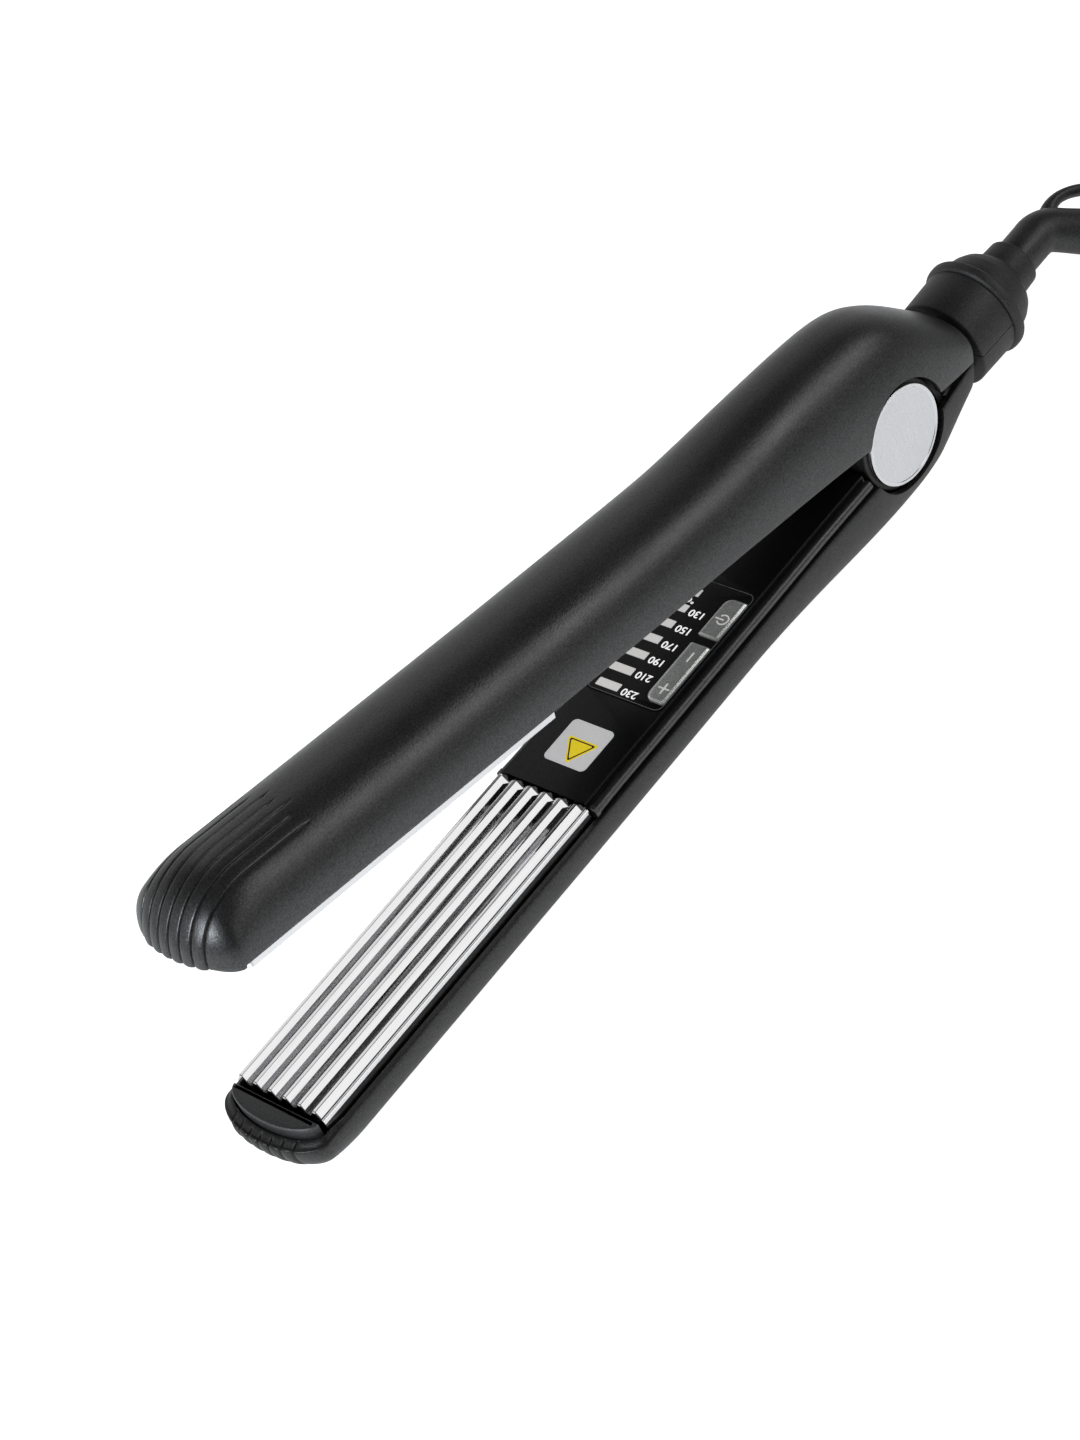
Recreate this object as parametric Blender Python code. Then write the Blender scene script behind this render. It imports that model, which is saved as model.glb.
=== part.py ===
"""Hair crimper: two hinged arms with meshing corrugated plates, a control panel
on the lower arm, a swivelling cord exit and a hang loop.

World frame: metres, +Z up, arms along X with the noses toward -X, hinge axis
along Y above the origin. The origin is the middle of the flat spot under the
hinge on which the lower housing rests. Geometry is written in millimetres from
the hinge axis, in the frame of the arm that carries the piece. In both arm
frames the parting plane is z = 0; the lower arm lies at -Z, the upper at +Z.
"""
import math
from collections import namedtuple

import bmesh
import bpy
from mathutils import Matrix, Vector

# ---------------------------------------------------------------- shared dimensions (mm, degrees)
UNIT = 0.001                # metres in a millimetre
OPEN_ANGLE = 12.17          # upper arm above the closed position
HINGE_HEIGHT = 22.8         # hinge axis above the rest face
PIN_R = 2.5
PIN_PLAY = 0.3              # between the pin and what turns on it
SCREW_XS = {"front": -203.0, "rear": -125.0}
BARREL_Z = -5.35            # axis of the barrel and the swivel
ROLL = 58.0                 # the swivel rests turned by this, so the cord lies down

# Look: base colour, roughness, metallic.
LOOKS = {
    "soft_black": ((0.018, 0.019, 0.022), 0.55, 0.0),
    "inner_black": ((0.006, 0.006, 0.008), 0.42, 0.0),
    "charcoal": ((0.030, 0.031, 0.034), 0.60, 0.0),
    "mirror_plate": ((0.62, 0.63, 0.62), 0.10, 1.0),
    "satin_key": ((0.60, 0.61, 0.64), 0.32, 0.7),
    "brushed_cap": ((0.78, 0.79, 0.80), 0.30, 1.0),
    "steel": ((0.55, 0.56, 0.58), 0.30, 1.0),
    "ceramic": ((0.80, 0.78, 0.72), 0.60, 0.0),
    "silicone": ((0.45, 0.12, 0.09), 0.70, 0.0),
    "high_heat_plastic": ((0.02, 0.02, 0.02), 0.60, 0.0),
    "board_green": ((0.02, 0.16, 0.07), 0.45, 0.0),
    "light_guide": ((0.62, 0.64, 0.66), 0.35, 0.0),
    "sticker": ((0.62, 0.62, 0.60), 0.40, 0.0),
    "rubber": ((0.022, 0.022, 0.024), 0.70, 0.0),
    "wire": ((0.75, 0.73, 0.68), 0.55, 0.0),
}


# ---------------------------------------------------------------- scene helpers
def clear_scene():
    for old in list(bpy.data.objects):
        bpy.data.objects.remove(old, do_unlink=True)
    for block in (bpy.data.meshes, bpy.data.materials, bpy.data.curves):
        for old in list(block):
            block.remove(old)


def frame(name, location, rotation=(0, 0, 0), parent=None):
    """Empty that carries a set of pieces."""
    obj = bpy.data.objects.new(name, None)
    obj.empty_display_size = 0.01
    bpy.context.scene.collection.objects.link(obj)
    obj.parent = parent
    obj.location = [c * UNIT for c in location]
    obj.rotation_euler = [math.radians(angle) for angle in rotation]
    return obj


def material(name, look):
    colour, roughness, metallic = LOOKS[look]
    result = bpy.data.materials.new(f"{name}_{look}")
    result.use_nodes = True
    shader = result.node_tree.nodes["Principled BSDF"]
    shader.inputs["Base Color"].default_value = (*colour, 1.0)
    shader.inputs["Roughness"].default_value = roughness
    shader.inputs["Metallic"].default_value = metallic
    result.diffuse_color = (*colour, 1.0)
    return result


def solid(name, look, parent, build, origin=(0, 0, 0), smooth=35.0):
    """Object from build(shape), which fills a bmesh in millimetres. Edges sharper than
    `smooth` degrees are shaded sharp."""
    shape = bmesh.new()
    build(shape)
    bmesh.ops.remove_doubles(shape, verts=shape.verts, dist=1e-5)
    bmesh.ops.recalc_face_normals(shape, faces=shape.faces)
    shift = Vector(origin)
    for vert in shape.verts:
        vert.co = (vert.co - shift) * UNIT
    mesh = bpy.data.meshes.new(name)
    shape.to_mesh(mesh)
    shape.free()
    obj = bpy.data.objects.new(name, mesh)
    bpy.context.scene.collection.objects.link(obj)
    obj.parent = parent
    obj.location = shift * UNIT
    if look:
        mesh.materials.append(material(name, look))
    for poly in mesh.polygons:
        poly.use_smooth = True
    mesh.set_sharp_from_angle(angle=math.radians(smooth))
    return obj


def combine(piece, operation, name, build):
    """Boolean of a piece with a hidden helper built in the same frame."""
    other = solid(name, None, piece.parent, build)
    other.hide_render = True
    other.display_type = "WIRE"
    mod = piece.modifiers.new(name, "BOOLEAN")
    mod.operation = operation
    mod.object = other
    mod.solver = "EXACT"


def bevel(piece, width, angle=40.0):
    """Single chamfer on the edges sharper than `angle`."""
    mod = piece.modifiers.new("edge", "BEVEL")
    mod.width = width * UNIT
    mod.segments = 1
    mod.limit_method = "ANGLE"
    mod.angle_limit = math.radians(angle)


# ---------------------------------------------------------------- outlines (mm)
def span(sign, near, far):
    """Low and high coordinate of a stretch on the side given by sign."""
    return sorted((sign * near, sign * far))


def unit_clamp(value):
    return max(0.0, min(1.0, value))


def mirrored(right, sign=1):
    """Symmetric (y, z) outline from its +Y half, with z times sign."""
    both = right + [(-y, z) for y, z in right[::-1]]
    return [(y, sign * z) for y, z in both]


def circle(radius, count, x=0.0, y=0.0):
    angles = [2 * math.pi * k / count for k in range(count)]
    return [(x + radius * math.cos(angle), y + radius * math.sin(angle)) for angle in angles]


def rounded(box, radii, steps=3):
    """Outline of the rectangle (x0, x1, y0, y1) with a radius for each corner, from (x0, y0)
    counterclockwise."""
    x0, x1, y0, y1 = box
    corners = [(x0, y0, 180), (x1, y0, 270), (x1, y1, 0), (x0, y1, 90)]
    outline = []
    for (x, y, first), radius in zip(corners, radii):
        centre_x = x + radius * (1 if x == x0 else -1)
        centre_y = y + radius * (1 if y == y0 else -1)
        for k in range(steps + 1):
            angle = math.radians(first + 90 * k / steps)
            outline.append((centre_x + radius * math.cos(angle),
                            centre_y + radius * math.sin(angle)))
    return outline


def grown(box, radii, grow):
    """Rounded rectangle, larger by `grow` all round."""
    x0, x1, y0, y1 = box
    return rounded((x0 - grow, x1 + grow, y0 - grow, y1 + grow), [r + grow for r in radii])


# ---------------------------------------------------------------- mesh builders (mm)
def add_row(shape, points):
    return [shape.verts.new(p) for p in points]


def skin(shape, first, second):
    """Quads between two open rows of equal length."""
    for k in range(len(first) - 1):
        shape.faces.new((first[k], first[k + 1], second[k + 1], second[k]))


def add_loft(shape, loops):
    """Closed solid through a series of loops of points."""
    rows = [add_row(shape, points) for points in loops]
    for first, second in zip(rows, rows[1:]):
        skin(shape, first + first[:1], second + second[:1])
    shape.faces.new(rows[0])
    shape.faces.new(rows[-1][::-1])


def add_prism(shape, outline, axis, low, high):
    """Extrudes an outline along axis 0, 1 or 2. It holds the other two coordinates in order."""
    add_loft(shape, [[(*p[:axis], level, *p[axis:]) for p in outline] for level in (low, high)])


def add_box(shape, xs, ys, zs):
    corners = [(xs[0], ys[0]), (xs[1], ys[0]), (xs[1], ys[1]), (xs[0], ys[1])]
    add_prism(shape, corners, 2, *zs)


def add_turned(shape, profile, axis, count, centre=(0, 0), sweep=360.0, start=0.0):
    """Revolves a closed profile of (along, radius) about an axis. A sweep under 360 closes
    with flat ends."""
    whole = sweep >= 360.0
    rows = []
    for k in range(count if whole else count + 1):
        angle = math.radians(start + sweep * k / count)
        points = []
        for along_axis, radius in profile:
            point = [0, 0, 0]
            point[axis] = along_axis
            point[(axis + 1) % 3] = centre[0] + radius * math.cos(angle)
            point[(axis + 2) % 3] = centre[1] + radius * math.sin(angle)
            points.append(point)
        rows.append(add_row(shape, points))
    pairs = list(zip(rows, rows[1:]))
    if whole:
        pairs.append((rows[-1], rows[0]))
    for first, second in pairs:
        for k in range(len(profile)):
            n = (k + 1) % len(profile)
            on_axis = profile[k][1] < 1e-9 and profile[n][1] < 1e-9
            if not on_axis:
                shape.faces.new((first[k], first[n], second[n], second[k]))
    if not whole:
        shape.faces.new(rows[0])
        shape.faces.new(rows[-1][::-1])


def add_tube(shape, path, radii, count):
    """Sweeps a circle along a path. radii is one radius, or a list with an
    (across, upright) pair for each point."""
    points = [Vector(p) for p in path]
    if not isinstance(radii, list):
        radii = [(radii, radii)] * len(points)
    loops = []
    side = Vector((0, 1, 0))
    for k, (point, (across, upright)) in enumerate(zip(points, radii)):
        ahead = points[min(k + 1, len(points) - 1)] - points[max(k - 1, 0)]
        ahead.normalize()
        side = (side - ahead * side.dot(ahead)).normalized()
        rise = ahead.cross(side)
        turns = [2 * math.pi * j / count for j in range(count)]
        loops.append([point + side * across * math.cos(turn) + rise * upright * math.sin(turn)
                      for turn in turns])
    add_loft(shape, loops)


# ---------------------------------------------------------------- frames and arms
clear_scene()
LOWER = frame("lower_arm", (0, 0, HINGE_HEIGHT))
UPPER = frame("upper_arm", (0, 0, HINGE_HEIGHT), (0, OPEN_ANGLE, 0))
SWIVEL = frame("swivel_axis", (0, 0, BARREL_Z), (-ROLL, 0, 0), parent=LOWER)

REAR_X = 27.2               # rear edge of both housings
FLAT_SPOT = 5.0             # half length of the flat spot under the hinge
COVER_HALF = 12.2           # half width of the flat inner face of the handle
UPPER_FACE = 1.6            # flat face of the upper cover from the parting plane
PLATE_GAP = 0.30            # between the meshed plates when closed

# Housing stations behind the nose: x, half width, depth from the parting plane.
LOWER_BODY = [
    (-160, 15.3, 17.1), (-119, 15.3, 17.1), (-82, 15.2, 17.0), (-62, 14.9, 17.2),
    (-52, 14.7, 18.2), (-44, 14.5, 19.2), (-35, 14.4, 20.3), (-27, 14.5, 21.3),
    (-18, 14.8, 22.1), (-12, 15.0, 22.5), (-FLAT_SPOT, 15.1, HINGE_HEIGHT),
    (FLAT_SPOT, 15.0, HINGE_HEIGHT), (10, 14.5, 22.2), (14.5, 14.1, 21.0),
    (18.5, 13.7, 19.3), (22, 13.4, 17.6), (25, 13.1, 16.0), (REAR_X, 12.9, 14.8),
]
UPPER_BODY = [
    (-160, 15.3, 20.3), (-119, 15.3, 20.3), (-89, 15.2, 20.6), (-69, 15.0, 20.9),
    (-58, 14.8, 21.2), (-48, 14.7, 22.0), (-38, 14.5, 23.1), (-29, 14.5, 24.2),
    (-18, 14.8, 25.3), (-8, 15.1, 26.3), (-1, 15.2, 26.4), (5, 15.2, 25.2),
    (10, 15.0, 22.9), (15, 14.6, 19.6), (19.5, 14.2, 16.2), (23.5, 13.7, 13.3),
    (REAR_X, 13.1, 10.9),
]

# +Y half of an inner cover's section, from the flat face round the bead: y, depth.
LOWER_COVER = [
    (COVER_HALF, 0.0), (COVER_HALF + 0.25, 0.9), (12.9, 1.35), (13.4, 1.75), (13.8, 2.4),
    (14.0, 3.1), (14.0, 3.7), (12.9, 3.7), (12.0, 2.6), (11.6, 2.0),
]
UPPER_COVER = [
    (COVER_HALF, UPPER_FACE), (12.7, UPPER_FACE + 0.05), (13.2, UPPER_FACE + 0.25), (13.7, 2.4),
    (14.0, 3.1), (14.0, 3.7), (12.9, 3.7), (12.3, 3.4), (11.6, UPPER_FACE + 1.9),
]

# Depths are measured from the parting plane, toward -Z below and +Z above.
Arm = namedtuple("Arm", [
    "name", "sign", "frame",
    "depth",            # of the housing in the plate zone
    "body",             # housing stations behind the nose
    "lean",             # how far the rear edge leans forward per mm of depth
    "groove_end",       # x where the middle nose groove fades out
    "insert_face",      # depth of the tip insert's face
    "plate_lift",       # of the plate's wave, toward +Z
    "plate_shoulder",   # y, depth of the corner beside the ridges
    "cover",            # half section of the inner cover
])
LOWER_ARM = Arm(name="lower", sign=-1, frame=LOWER, depth=17.0, body=LOWER_BODY, lean=0.40,
                groove_end=-206.5, insert_face=0.5, plate_lift=0.0,
                plate_shoulder=(12.55, 1.0), cover=LOWER_COVER)
UPPER_ARM = Arm(name="upper", sign=1, frame=UPPER, depth=20.2, body=UPPER_BODY, lean=-0.10,
                groove_end=-183.0, insert_face=0.9, plate_lift=PLATE_GAP,
                plate_shoulder=(12.4, 0.3), cover=UPPER_COVER)

# ---------------------------------------------------------------- housings
TIP_X = -218.2              # foremost point of both noses
HALF_WIDTH = 15.3           # of a housing in the plate zone
RIM_Z = 4.0                 # rim of a housing from the parting plane
RIM_DIP_X = 10.0            # behind this the rims dip toward each other
RIM_DIP = 0.9
RIM_EDGE = 0.3              # the outer skin draws in by this at the rim
CORE_Z = 5.0                # centre depth of the rounded section
ROUNDNESS = 2.3             # superellipse exponent of the section
SECTION_STEPS = 8           # points on a quarter of the section
WALL = 1.8
NOSE_PLAN = 7.0             # length of the rounded nose seen from above
NOSE_SIDE = 17.0            # length of the rounded nose seen from the side
NOSE_STEPS = (0.3, 0.8, 1.6, 2.9, 4.7, 7.0, 11.0, 17.0)     # stations behind the tip
NOSE_RIM = 3.2              # inner rim edge beside the tip insert
NOSE_RIM_X, NOSE_RIM_RAMP = -205.5, 5.0     # where that edge starts, and its transition

CAVITY_TIP = -215.25
CAVITY_HALF = 13.4
CAVITY_PLAN = 5.2           # length of the cavity's rounded nose seen from above
CAVITY_SETBACK = 2.3        # taken off the nose steps behind that rounding
CAVITY_SIDE_LEAD = 1.0      # head start of its rounding seen from the side

GROOVE_PITCH = 3.05
GROOVE_WIDTH = 0.55
GROOVE_DEPTH = 0.5
GROOVE_FADE = 5.0           # length over which a groove runs out
GROOVE_STEPS = (0.25, 0.8, 1.6, 2.8, 4.5, 7.0, 10.5, 15.0, 20.0, 26.0, 32.0)
GROOVE_CLEAR = 3.0          # reach of the groove cutter outside the skin

POCKET_R = 13.6             # openings in the side walls for the hinge hubs
POST_R, POST_FACE = 3.0, 11.5
BORE_R, BORE_FACE = 1.5, 10.5


def arc_rule(distance, length):
    """Share of full size at a distance behind the tip of a nose rounded over length."""
    part = min(1.0, distance / length)
    return math.sqrt(1 - (1 - part) ** 2)


def outer_stations(arm):
    """Rows of x, half width, depth beyond CORE_Z."""
    core = arm.depth - CORE_Z
    nose = [(TIP_X + s, HALF_WIDTH * arc_rule(s, NOSE_PLAN), core * arc_rule(s, NOSE_SIDE))
            for s in NOSE_STEPS]
    return nose + [(x, half, depth - CORE_Z) for x, half, depth in arm.body]


def inner_stations(arm, outer):
    """Stations of the cavity, one for each outer one."""
    core = arm.depth - CORE_Z - WALL
    rows = []
    for step in NOSE_STEPS:
        s = step * CAVITY_PLAN / NOSE_PLAN if step < NOSE_PLAN else step - CAVITY_SETBACK
        rows.append((CAVITY_TIP + s, CAVITY_HALF * arc_rule(s, CAVITY_PLAN),
                     core * arc_rule(s + CAVITY_SIDE_LEAD, NOSE_SIDE)))
    return rows + [(x, half - WALL, core - WALL) for x, half, core in outer[len(NOSE_STEPS):]]


def section(arm, station, inside):
    """Open row from the +Y rim round the outside to the -Y rim. It has no point at the very
    bottom, so the two deepest points make a level edge. Behind the hinge it leans."""
    x, half, core = station
    behind = unit_clamp((x - RIM_DIP_X) / (REAR_X - RIM_DIP_X))
    lean = arm.lean * behind
    rim = RIM_Z - RIM_DIP * behind
    edge = RIM_EDGE
    if inside:
        rim -= (RIM_Z - NOSE_RIM) * unit_clamp((NOSE_RIM_X - x) / NOSE_RIM_RAMP)
        edge = 0.0
    last = math.pi / 2 * (1 - 1 / SECTION_STEPS)
    full = math.sin(last) ** (2 / ROUNDNESS)
    row = [(x, max(half - edge, 0.5 * half), arm.sign * rim)]
    for k in range(SECTION_STEPS):
        angle = last * k / (SECTION_STEPS - 1)
        depth = CORE_Z + core * math.sin(angle) ** (2 / ROUNDNESS) / full
        row.append((x - lean * (depth - RIM_Z), half * math.cos(angle) ** (2 / ROUNDNESS),
                    arm.sign * depth))
    return row + [(x, -y, z) for x, y, z in row[::-1]]


def add_housing(shape, arm, outer):
    """Closed channel: outer skin, inner skin, rims, closed nose, open rear mouth."""
    outs = [add_row(shape, section(arm, s, False)) for s in outer]
    ins = [add_row(shape, section(arm, s, True)) for s in inner_stations(arm, outer)]
    for first, second in zip(outs, outs[1:]):
        skin(shape, first, second)
    for first, second in zip(ins, ins[1:]):
        skin(shape, second, first)
    skin(shape, [row[0] for row in outs], [row[0] for row in ins])
    skin(shape, [row[-1] for row in ins], [row[-1] for row in outs])
    skin(shape, outs[-1], ins[-1])
    shape.faces.new(outs[0])
    shape.faces.new(ins[0][::-1])
    shape.faces.new((outs[0][0], ins[0][0], ins[0][-1], outs[0][-1]))


def size_at(rows, x):
    """Half width and core depth between stations."""
    for (x0, half0, core0), (x1, half1, core1) in zip(rows, rows[1:]):
        if x0 <= x <= x1:
            part = (x - x0) / (x1 - x0)
            return half0 + part * (half1 - half0), core0 + part * (core1 - core0)
    return rows[0][1:]      # ahead of the first station


def surface_depth(rows, x, y):
    half, core = size_at(rows, x)
    if abs(y) >= half:
        return CORE_Z
    return CORE_Z + core * (1 - (abs(y) / half) ** ROUNDNESS) ** (1 / ROUNDNESS)


def add_groove(shape, rows, y, sign, back, rim_start):
    """Cutter for one groove: starts on the rim face, wraps round the nose, fades out at back."""
    front = TIP_X + NOSE_PLAN * (1 - math.sqrt(1 - (abs(y) / HALF_WIDTH) ** 2))
    xs = [front + s for s in GROOVE_STEPS if front + s < back - 1] + [back]
    curve = [(x, surface_depth(rows, x, y)) for x in xs]
    floor = []
    for k, (x, z) in enumerate(curve):
        x0, z0 = curve[k - 1] if k else (front, CORE_Z)
        x1, z1 = curve[min(k + 1, len(curve) - 1)]
        length = math.hypot(x1 - x0, z1 - z0)
        # The cutter ends just outside the skin, so the groove runs out to nothing.
        fade = 1 if x < back - GROOVE_FADE else (back - x) / GROOVE_FADE - 0.05
        depth = GROOVE_DEPTH * fade
        floor.append((x + (z1 - z0) / length * depth, z - (x1 - x0) / length * depth))
    floor = [p for p in floor if p[1] > RIM_Z + GROOVE_DEPTH + 0.05]
    start = [(rim_start, RIM_Z - 0.55), (front + GROOVE_DEPTH, RIM_Z + GROOVE_DEPTH)]
    far = max(z for x, z in curve) + GROOVE_CLEAR
    near = RIM_Z - GROOVE_CLEAR
    outside = [(back, far), (front - GROOVE_CLEAR, far), (front - GROOVE_CLEAR, near),
               (rim_start, near)]
    outline = [(x, sign * z) for x, z in start + floor + outside]
    add_prism(shape, outline, 1, y - GROOVE_WIDTH / 2, y + GROOVE_WIDTH / 2)


def add_grooves(shape, arm, rows):
    """Seven grooves. Every second one ends farther back, the outer ones a little sooner."""
    for k in range(-3, 4):
        back = arm.groove_end + (2.0 if k % 2 else 0.0) - 0.6 * abs(k)
        add_groove(shape, rows, k * GROOVE_PITCH, arm.sign, back, -215.9 + 0.27 * k * k)


def add_pins(shape, radius, count, depths):
    """Upright cylinders at the two screw places."""
    for x in SCREW_XS.values():
        add_prism(shape, circle(radius, count, x), 2, *depths)


def make_housing(arm):
    name = arm.name + "_housing"
    outer = outer_stations(arm)
    post = span(arm.sign, POST_FACE, arm.depth - WALL / 2)
    bore = span(arm.sign, BORE_FACE, arm.depth - 1.5 * WALL)
    obj = solid(name, "soft_black", arm.frame, lambda shape: add_housing(shape, arm, outer),
                smooth=30)
    combine(obj, "UNION", name + "_posts", lambda shape: add_pins(shape, POST_R, 16, post))
    combine(obj, "DIFFERENCE", name + "_bores", lambda shape: add_pins(shape, BORE_R, 12, bore))
    combine(obj, "DIFFERENCE", name + "_pocket",
            lambda shape: add_prism(shape, circle(POCKET_R, 48), 1, -20, 20))
    combine(obj, "DIFFERENCE", name + "_grooves", lambda shape: add_grooves(shape, arm, outer))


# ---------------------------------------------------------------- tip inserts
INSERT_TIP, INSERT_HALF, INSERT_PLAN = -214.95, 12.6, 4.8
INSERT_STEPS = (0.12, 0.5, 1.1, 2.0, 3.2)       # outline points behind the tip
INSERT_REAR = (-210.0, 12.5)                    # rear corner: x, y
INSERT_BACK = 6.5                               # depth of the hidden face


def make_tip_insert(arm):
    right = [(INSERT_TIP + s, INSERT_HALF * arc_rule(s, INSERT_PLAN)) for s in INSERT_STEPS]
    right.append(INSERT_REAR)
    outline = right + [(x, -y) for x, y in right[::-1]]
    depths = span(arm.sign, arm.insert_face, INSERT_BACK)
    obj = solid(arm.name + "_tip_insert", "inner_black", arm.frame,
                lambda shape: add_prism(shape, outline, 2, *depths))
    bevel(obj, 0.35, angle=50)


# ---------------------------------------------------------------- crimp plates
PLATE_X = (-208.85, -118.85)
RIDGE_PITCH = 4.407
RIDGE_HEIGHT = 1.07         # above and below the mid plane
RIDGE_FLAT = 0.35           # half width of the flats on crests and in troughs
PLATE_HALF = 13.1
FLANGE_INNER = 12.1         # inner face of the side flanges
FLANGE_TOP, FLANGE_END, SEAT = 2.1, 4.6, 3.0    # depths


def make_plate(arm):
    """Ridges on the parting plane, a flange down each side, a flat seat behind. Both plates
    have the same wave, the upper one lifted by the closing gap, so the two mesh."""
    wave = []
    for k in range(-5, 6):
        y = k * RIDGE_PITCH / 2
        z = (RIDGE_HEIGHT if k % 2 else -RIDGE_HEIGHT) + arm.plate_lift
        wave += [(y - RIDGE_FLAT, z), (y + RIDGE_FLAT, z)]
    flange = [arm.plate_shoulder, (PLATE_HALF, FLANGE_TOP), (PLATE_HALF, FLANGE_END),
              (FLANGE_INNER, FLANGE_END), (FLANGE_INNER, SEAT)]
    outline = wave + mirrored(flange, arm.sign)
    solid(arm.name + "_crimp_plate", "mirror_plate", arm.frame,
          lambda shape: add_prism(shape, outline, 0, *PLATE_X), smooth=20)


# ---------------------------------------------------------------- behind the plates
HEATER_X, HEATER_Y, HEATER_DEPTHS = (-192, -132), (-7, 7), (3.3, 5.9)
CLAMP_X = (-198, -128)
CLAMP_SECTION = [(8.6, 7.2), (8.6, 3.4), (7.6, 3.4), (7.6, 6.2)]    # +Y half: y, depth
CARRIER_X = (-206.0, -119.0)
CARRIER_SECTION = [             # tray open toward the plate: y, depth
    (11.5, 4.2), (10.9, 11.2), (-10.9, 11.2), (-11.5, 4.2),
    (-10.4, 4.2), (-9.9, 10.0), (9.9, 10.0), (10.4, 4.2),
]
CARRIER_HOLE_R, CARRIER_HOLE_DEPTHS = 1.6, (9.0, 12.2)
CUSHION_XS = {"front": -186.0, "rear": -140.0}
CUSHION_HALF_X, CUSHION_HALF_Y, CUSHION_R, CUSHION_DEPTHS = 6, 5, 1.5, (7.5, 9.7)
SCREW_SEAT = 9.75               # depth of the underside of the screw head
SCREW_PROFILE = [               # depth, radius
    (8.5, 0), (8.5, 2.0), (8.9, 2.6), (SCREW_SEAT, 2.6), (SCREW_SEAT, 1.2), (14.2, 1.2), (14.2, 0),
]
SENSOR_X, SENSOR_HALF, SENSOR_R, SENSOR_DEPTHS = (-130.6, -127.4), 6.2, 0.6, (3.3, 5.3)


def make_heater(arm):
    depths = span(arm.sign, *HEATER_DEPTHS)
    heater = solid(arm.name + "_heater", "ceramic", arm.frame,
                   lambda shape: add_box(shape, HEATER_X, HEATER_Y, depths))
    bevel(heater, 0.3)
    solid(arm.name + "_heater_clamp", "steel", arm.frame,
          lambda shape: add_prism(shape, mirrored(CLAMP_SECTION, arm.sign), 0, *CLAMP_X))
    box = (-SENSOR_HALF, SENSOR_HALF, *span(arm.sign, *SENSOR_DEPTHS))
    solid(arm.name + "_temperature_sensor", "steel", arm.frame,
          lambda shape: add_prism(shape, rounded(box, [SENSOR_R] * 4, 2), 0, *SENSOR_X))


def make_carrier(arm):
    outline = [(y, arm.sign * z) for y, z in CARRIER_SECTION]
    holes = span(arm.sign, *CARRIER_HOLE_DEPTHS)
    tray = solid(arm.name + "_plate_carrier", "high_heat_plastic", arm.frame,
                 lambda shape: add_prism(shape, outline, 0, *CARRIER_X))
    combine(tray, "DIFFERENCE", arm.name + "_carrier_holes",
            lambda shape: add_pins(shape, CARRIER_HOLE_R, 12, holes))


def make_cushions(arm):
    depths = span(arm.sign, *CUSHION_DEPTHS)
    for spot, x in CUSHION_XS.items():
        box = (x - CUSHION_HALF_X, x + CUSHION_HALF_X, -CUSHION_HALF_Y, CUSHION_HALF_Y)
        solid(f"{arm.name}_cushion_{spot}", "silicone", arm.frame,
              lambda shape: add_prism(shape, rounded(box, [CUSHION_R] * 4, 2), 2, *depths))


def make_carrier_screws(arm):
    profile = [(arm.sign * depth, radius) for depth, radius in SCREW_PROFILE]
    for spot, x in SCREW_XS.items():
        solid(f"{arm.name}_carrier_screw_{spot}", "steel", arm.frame,
              lambda shape: add_turned(shape, profile, 2, 16, centre=(x, 0)),
              origin=(x, 0, arm.sign * SCREW_SEAT))


# ---------------------------------------------------------------- inner covers
BEAD_Y = 12.5               # beyond this a point belongs to the bead and takes the full scale
COVER_STATIONS = [          # x, width scale
    (-118.4, 0.975), (-112, 0.955), (-82, 0.955), (-54, 0.92), (-40, 0.895), (-33, 0.885),
    (-24, 0.90), (-14.3, 0.925),
]
EAR_R, EAR_Y = 7.0, (5.3, 7.6)
EAR_TAIL = [(-14.0, 6.6), (-24.0, 3.2), (-24.0, 1.9), (-14.0, 1.9)]     # x, z
STICKER = (-111.45, -99.4, -6.0, 6.0)           # x0, x1, y0, y1

PANEL = (-90.8, -54.0, -11.0, 10.4)             # x0, x1, y0, y1
PANEL_RADII = (2.0,) * 4
PANEL_GAP = 0.25


def make_cover(arm):
    """Flat face, small step, rounded bead, open behind."""
    outline = mirrored(arm.cover, arm.sign)
    loops = [[(x, y * (scale if abs(y) > BEAD_Y else 0.5 + scale / 2), z) for y, z in outline]
             for x, scale in COVER_STATIONS]
    return solid(arm.name + "_inner_cover", "inner_black", arm.frame,
                 lambda shape: add_loft(shape, loops), smooth=30)


def add_ears(shape):
    """Two ears that carry the upper arm on the pin."""
    angles = [math.radians(degrees) for degrees in range(-150, 96, 15)]
    outline = [(EAR_R * math.cos(angle), EAR_R * math.sin(angle)) for angle in angles] + EAR_TAIL
    for side in (-1, 1):
        add_prism(shape, outline, 1, *span(side, *EAR_Y))


def make_covers():
    lower = make_cover(LOWER_ARM)
    window = grown(PANEL, PANEL_RADII, PANEL_GAP)
    combine(lower, "DIFFERENCE", "panel_window", lambda shape: add_prism(shape, window, 2, -5, 3))
    upper = make_cover(UPPER_ARM)
    combine(upper, "UNION", "upper_ears", add_ears)
    combine(upper, "DIFFERENCE", "upper_ear_bore",
            lambda shape: add_prism(shape, circle(PIN_R + PIN_PLAY, 24), 1, -9, 9))
    solid("heat_sticker", "sticker", LOWER,
          lambda shape: add_prism(shape, rounded(STICKER, [1.3] * 4), 2, 0.03, 0.2))


for each_arm in (LOWER_ARM, UPPER_ARM):
    make_housing(each_arm)
    make_tip_insert(each_arm)
    make_plate(each_arm)
    make_heater(each_arm)
    make_carrier(each_arm)
    make_cushions(each_arm)
    make_carrier_screws(each_arm)
make_covers()

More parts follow.
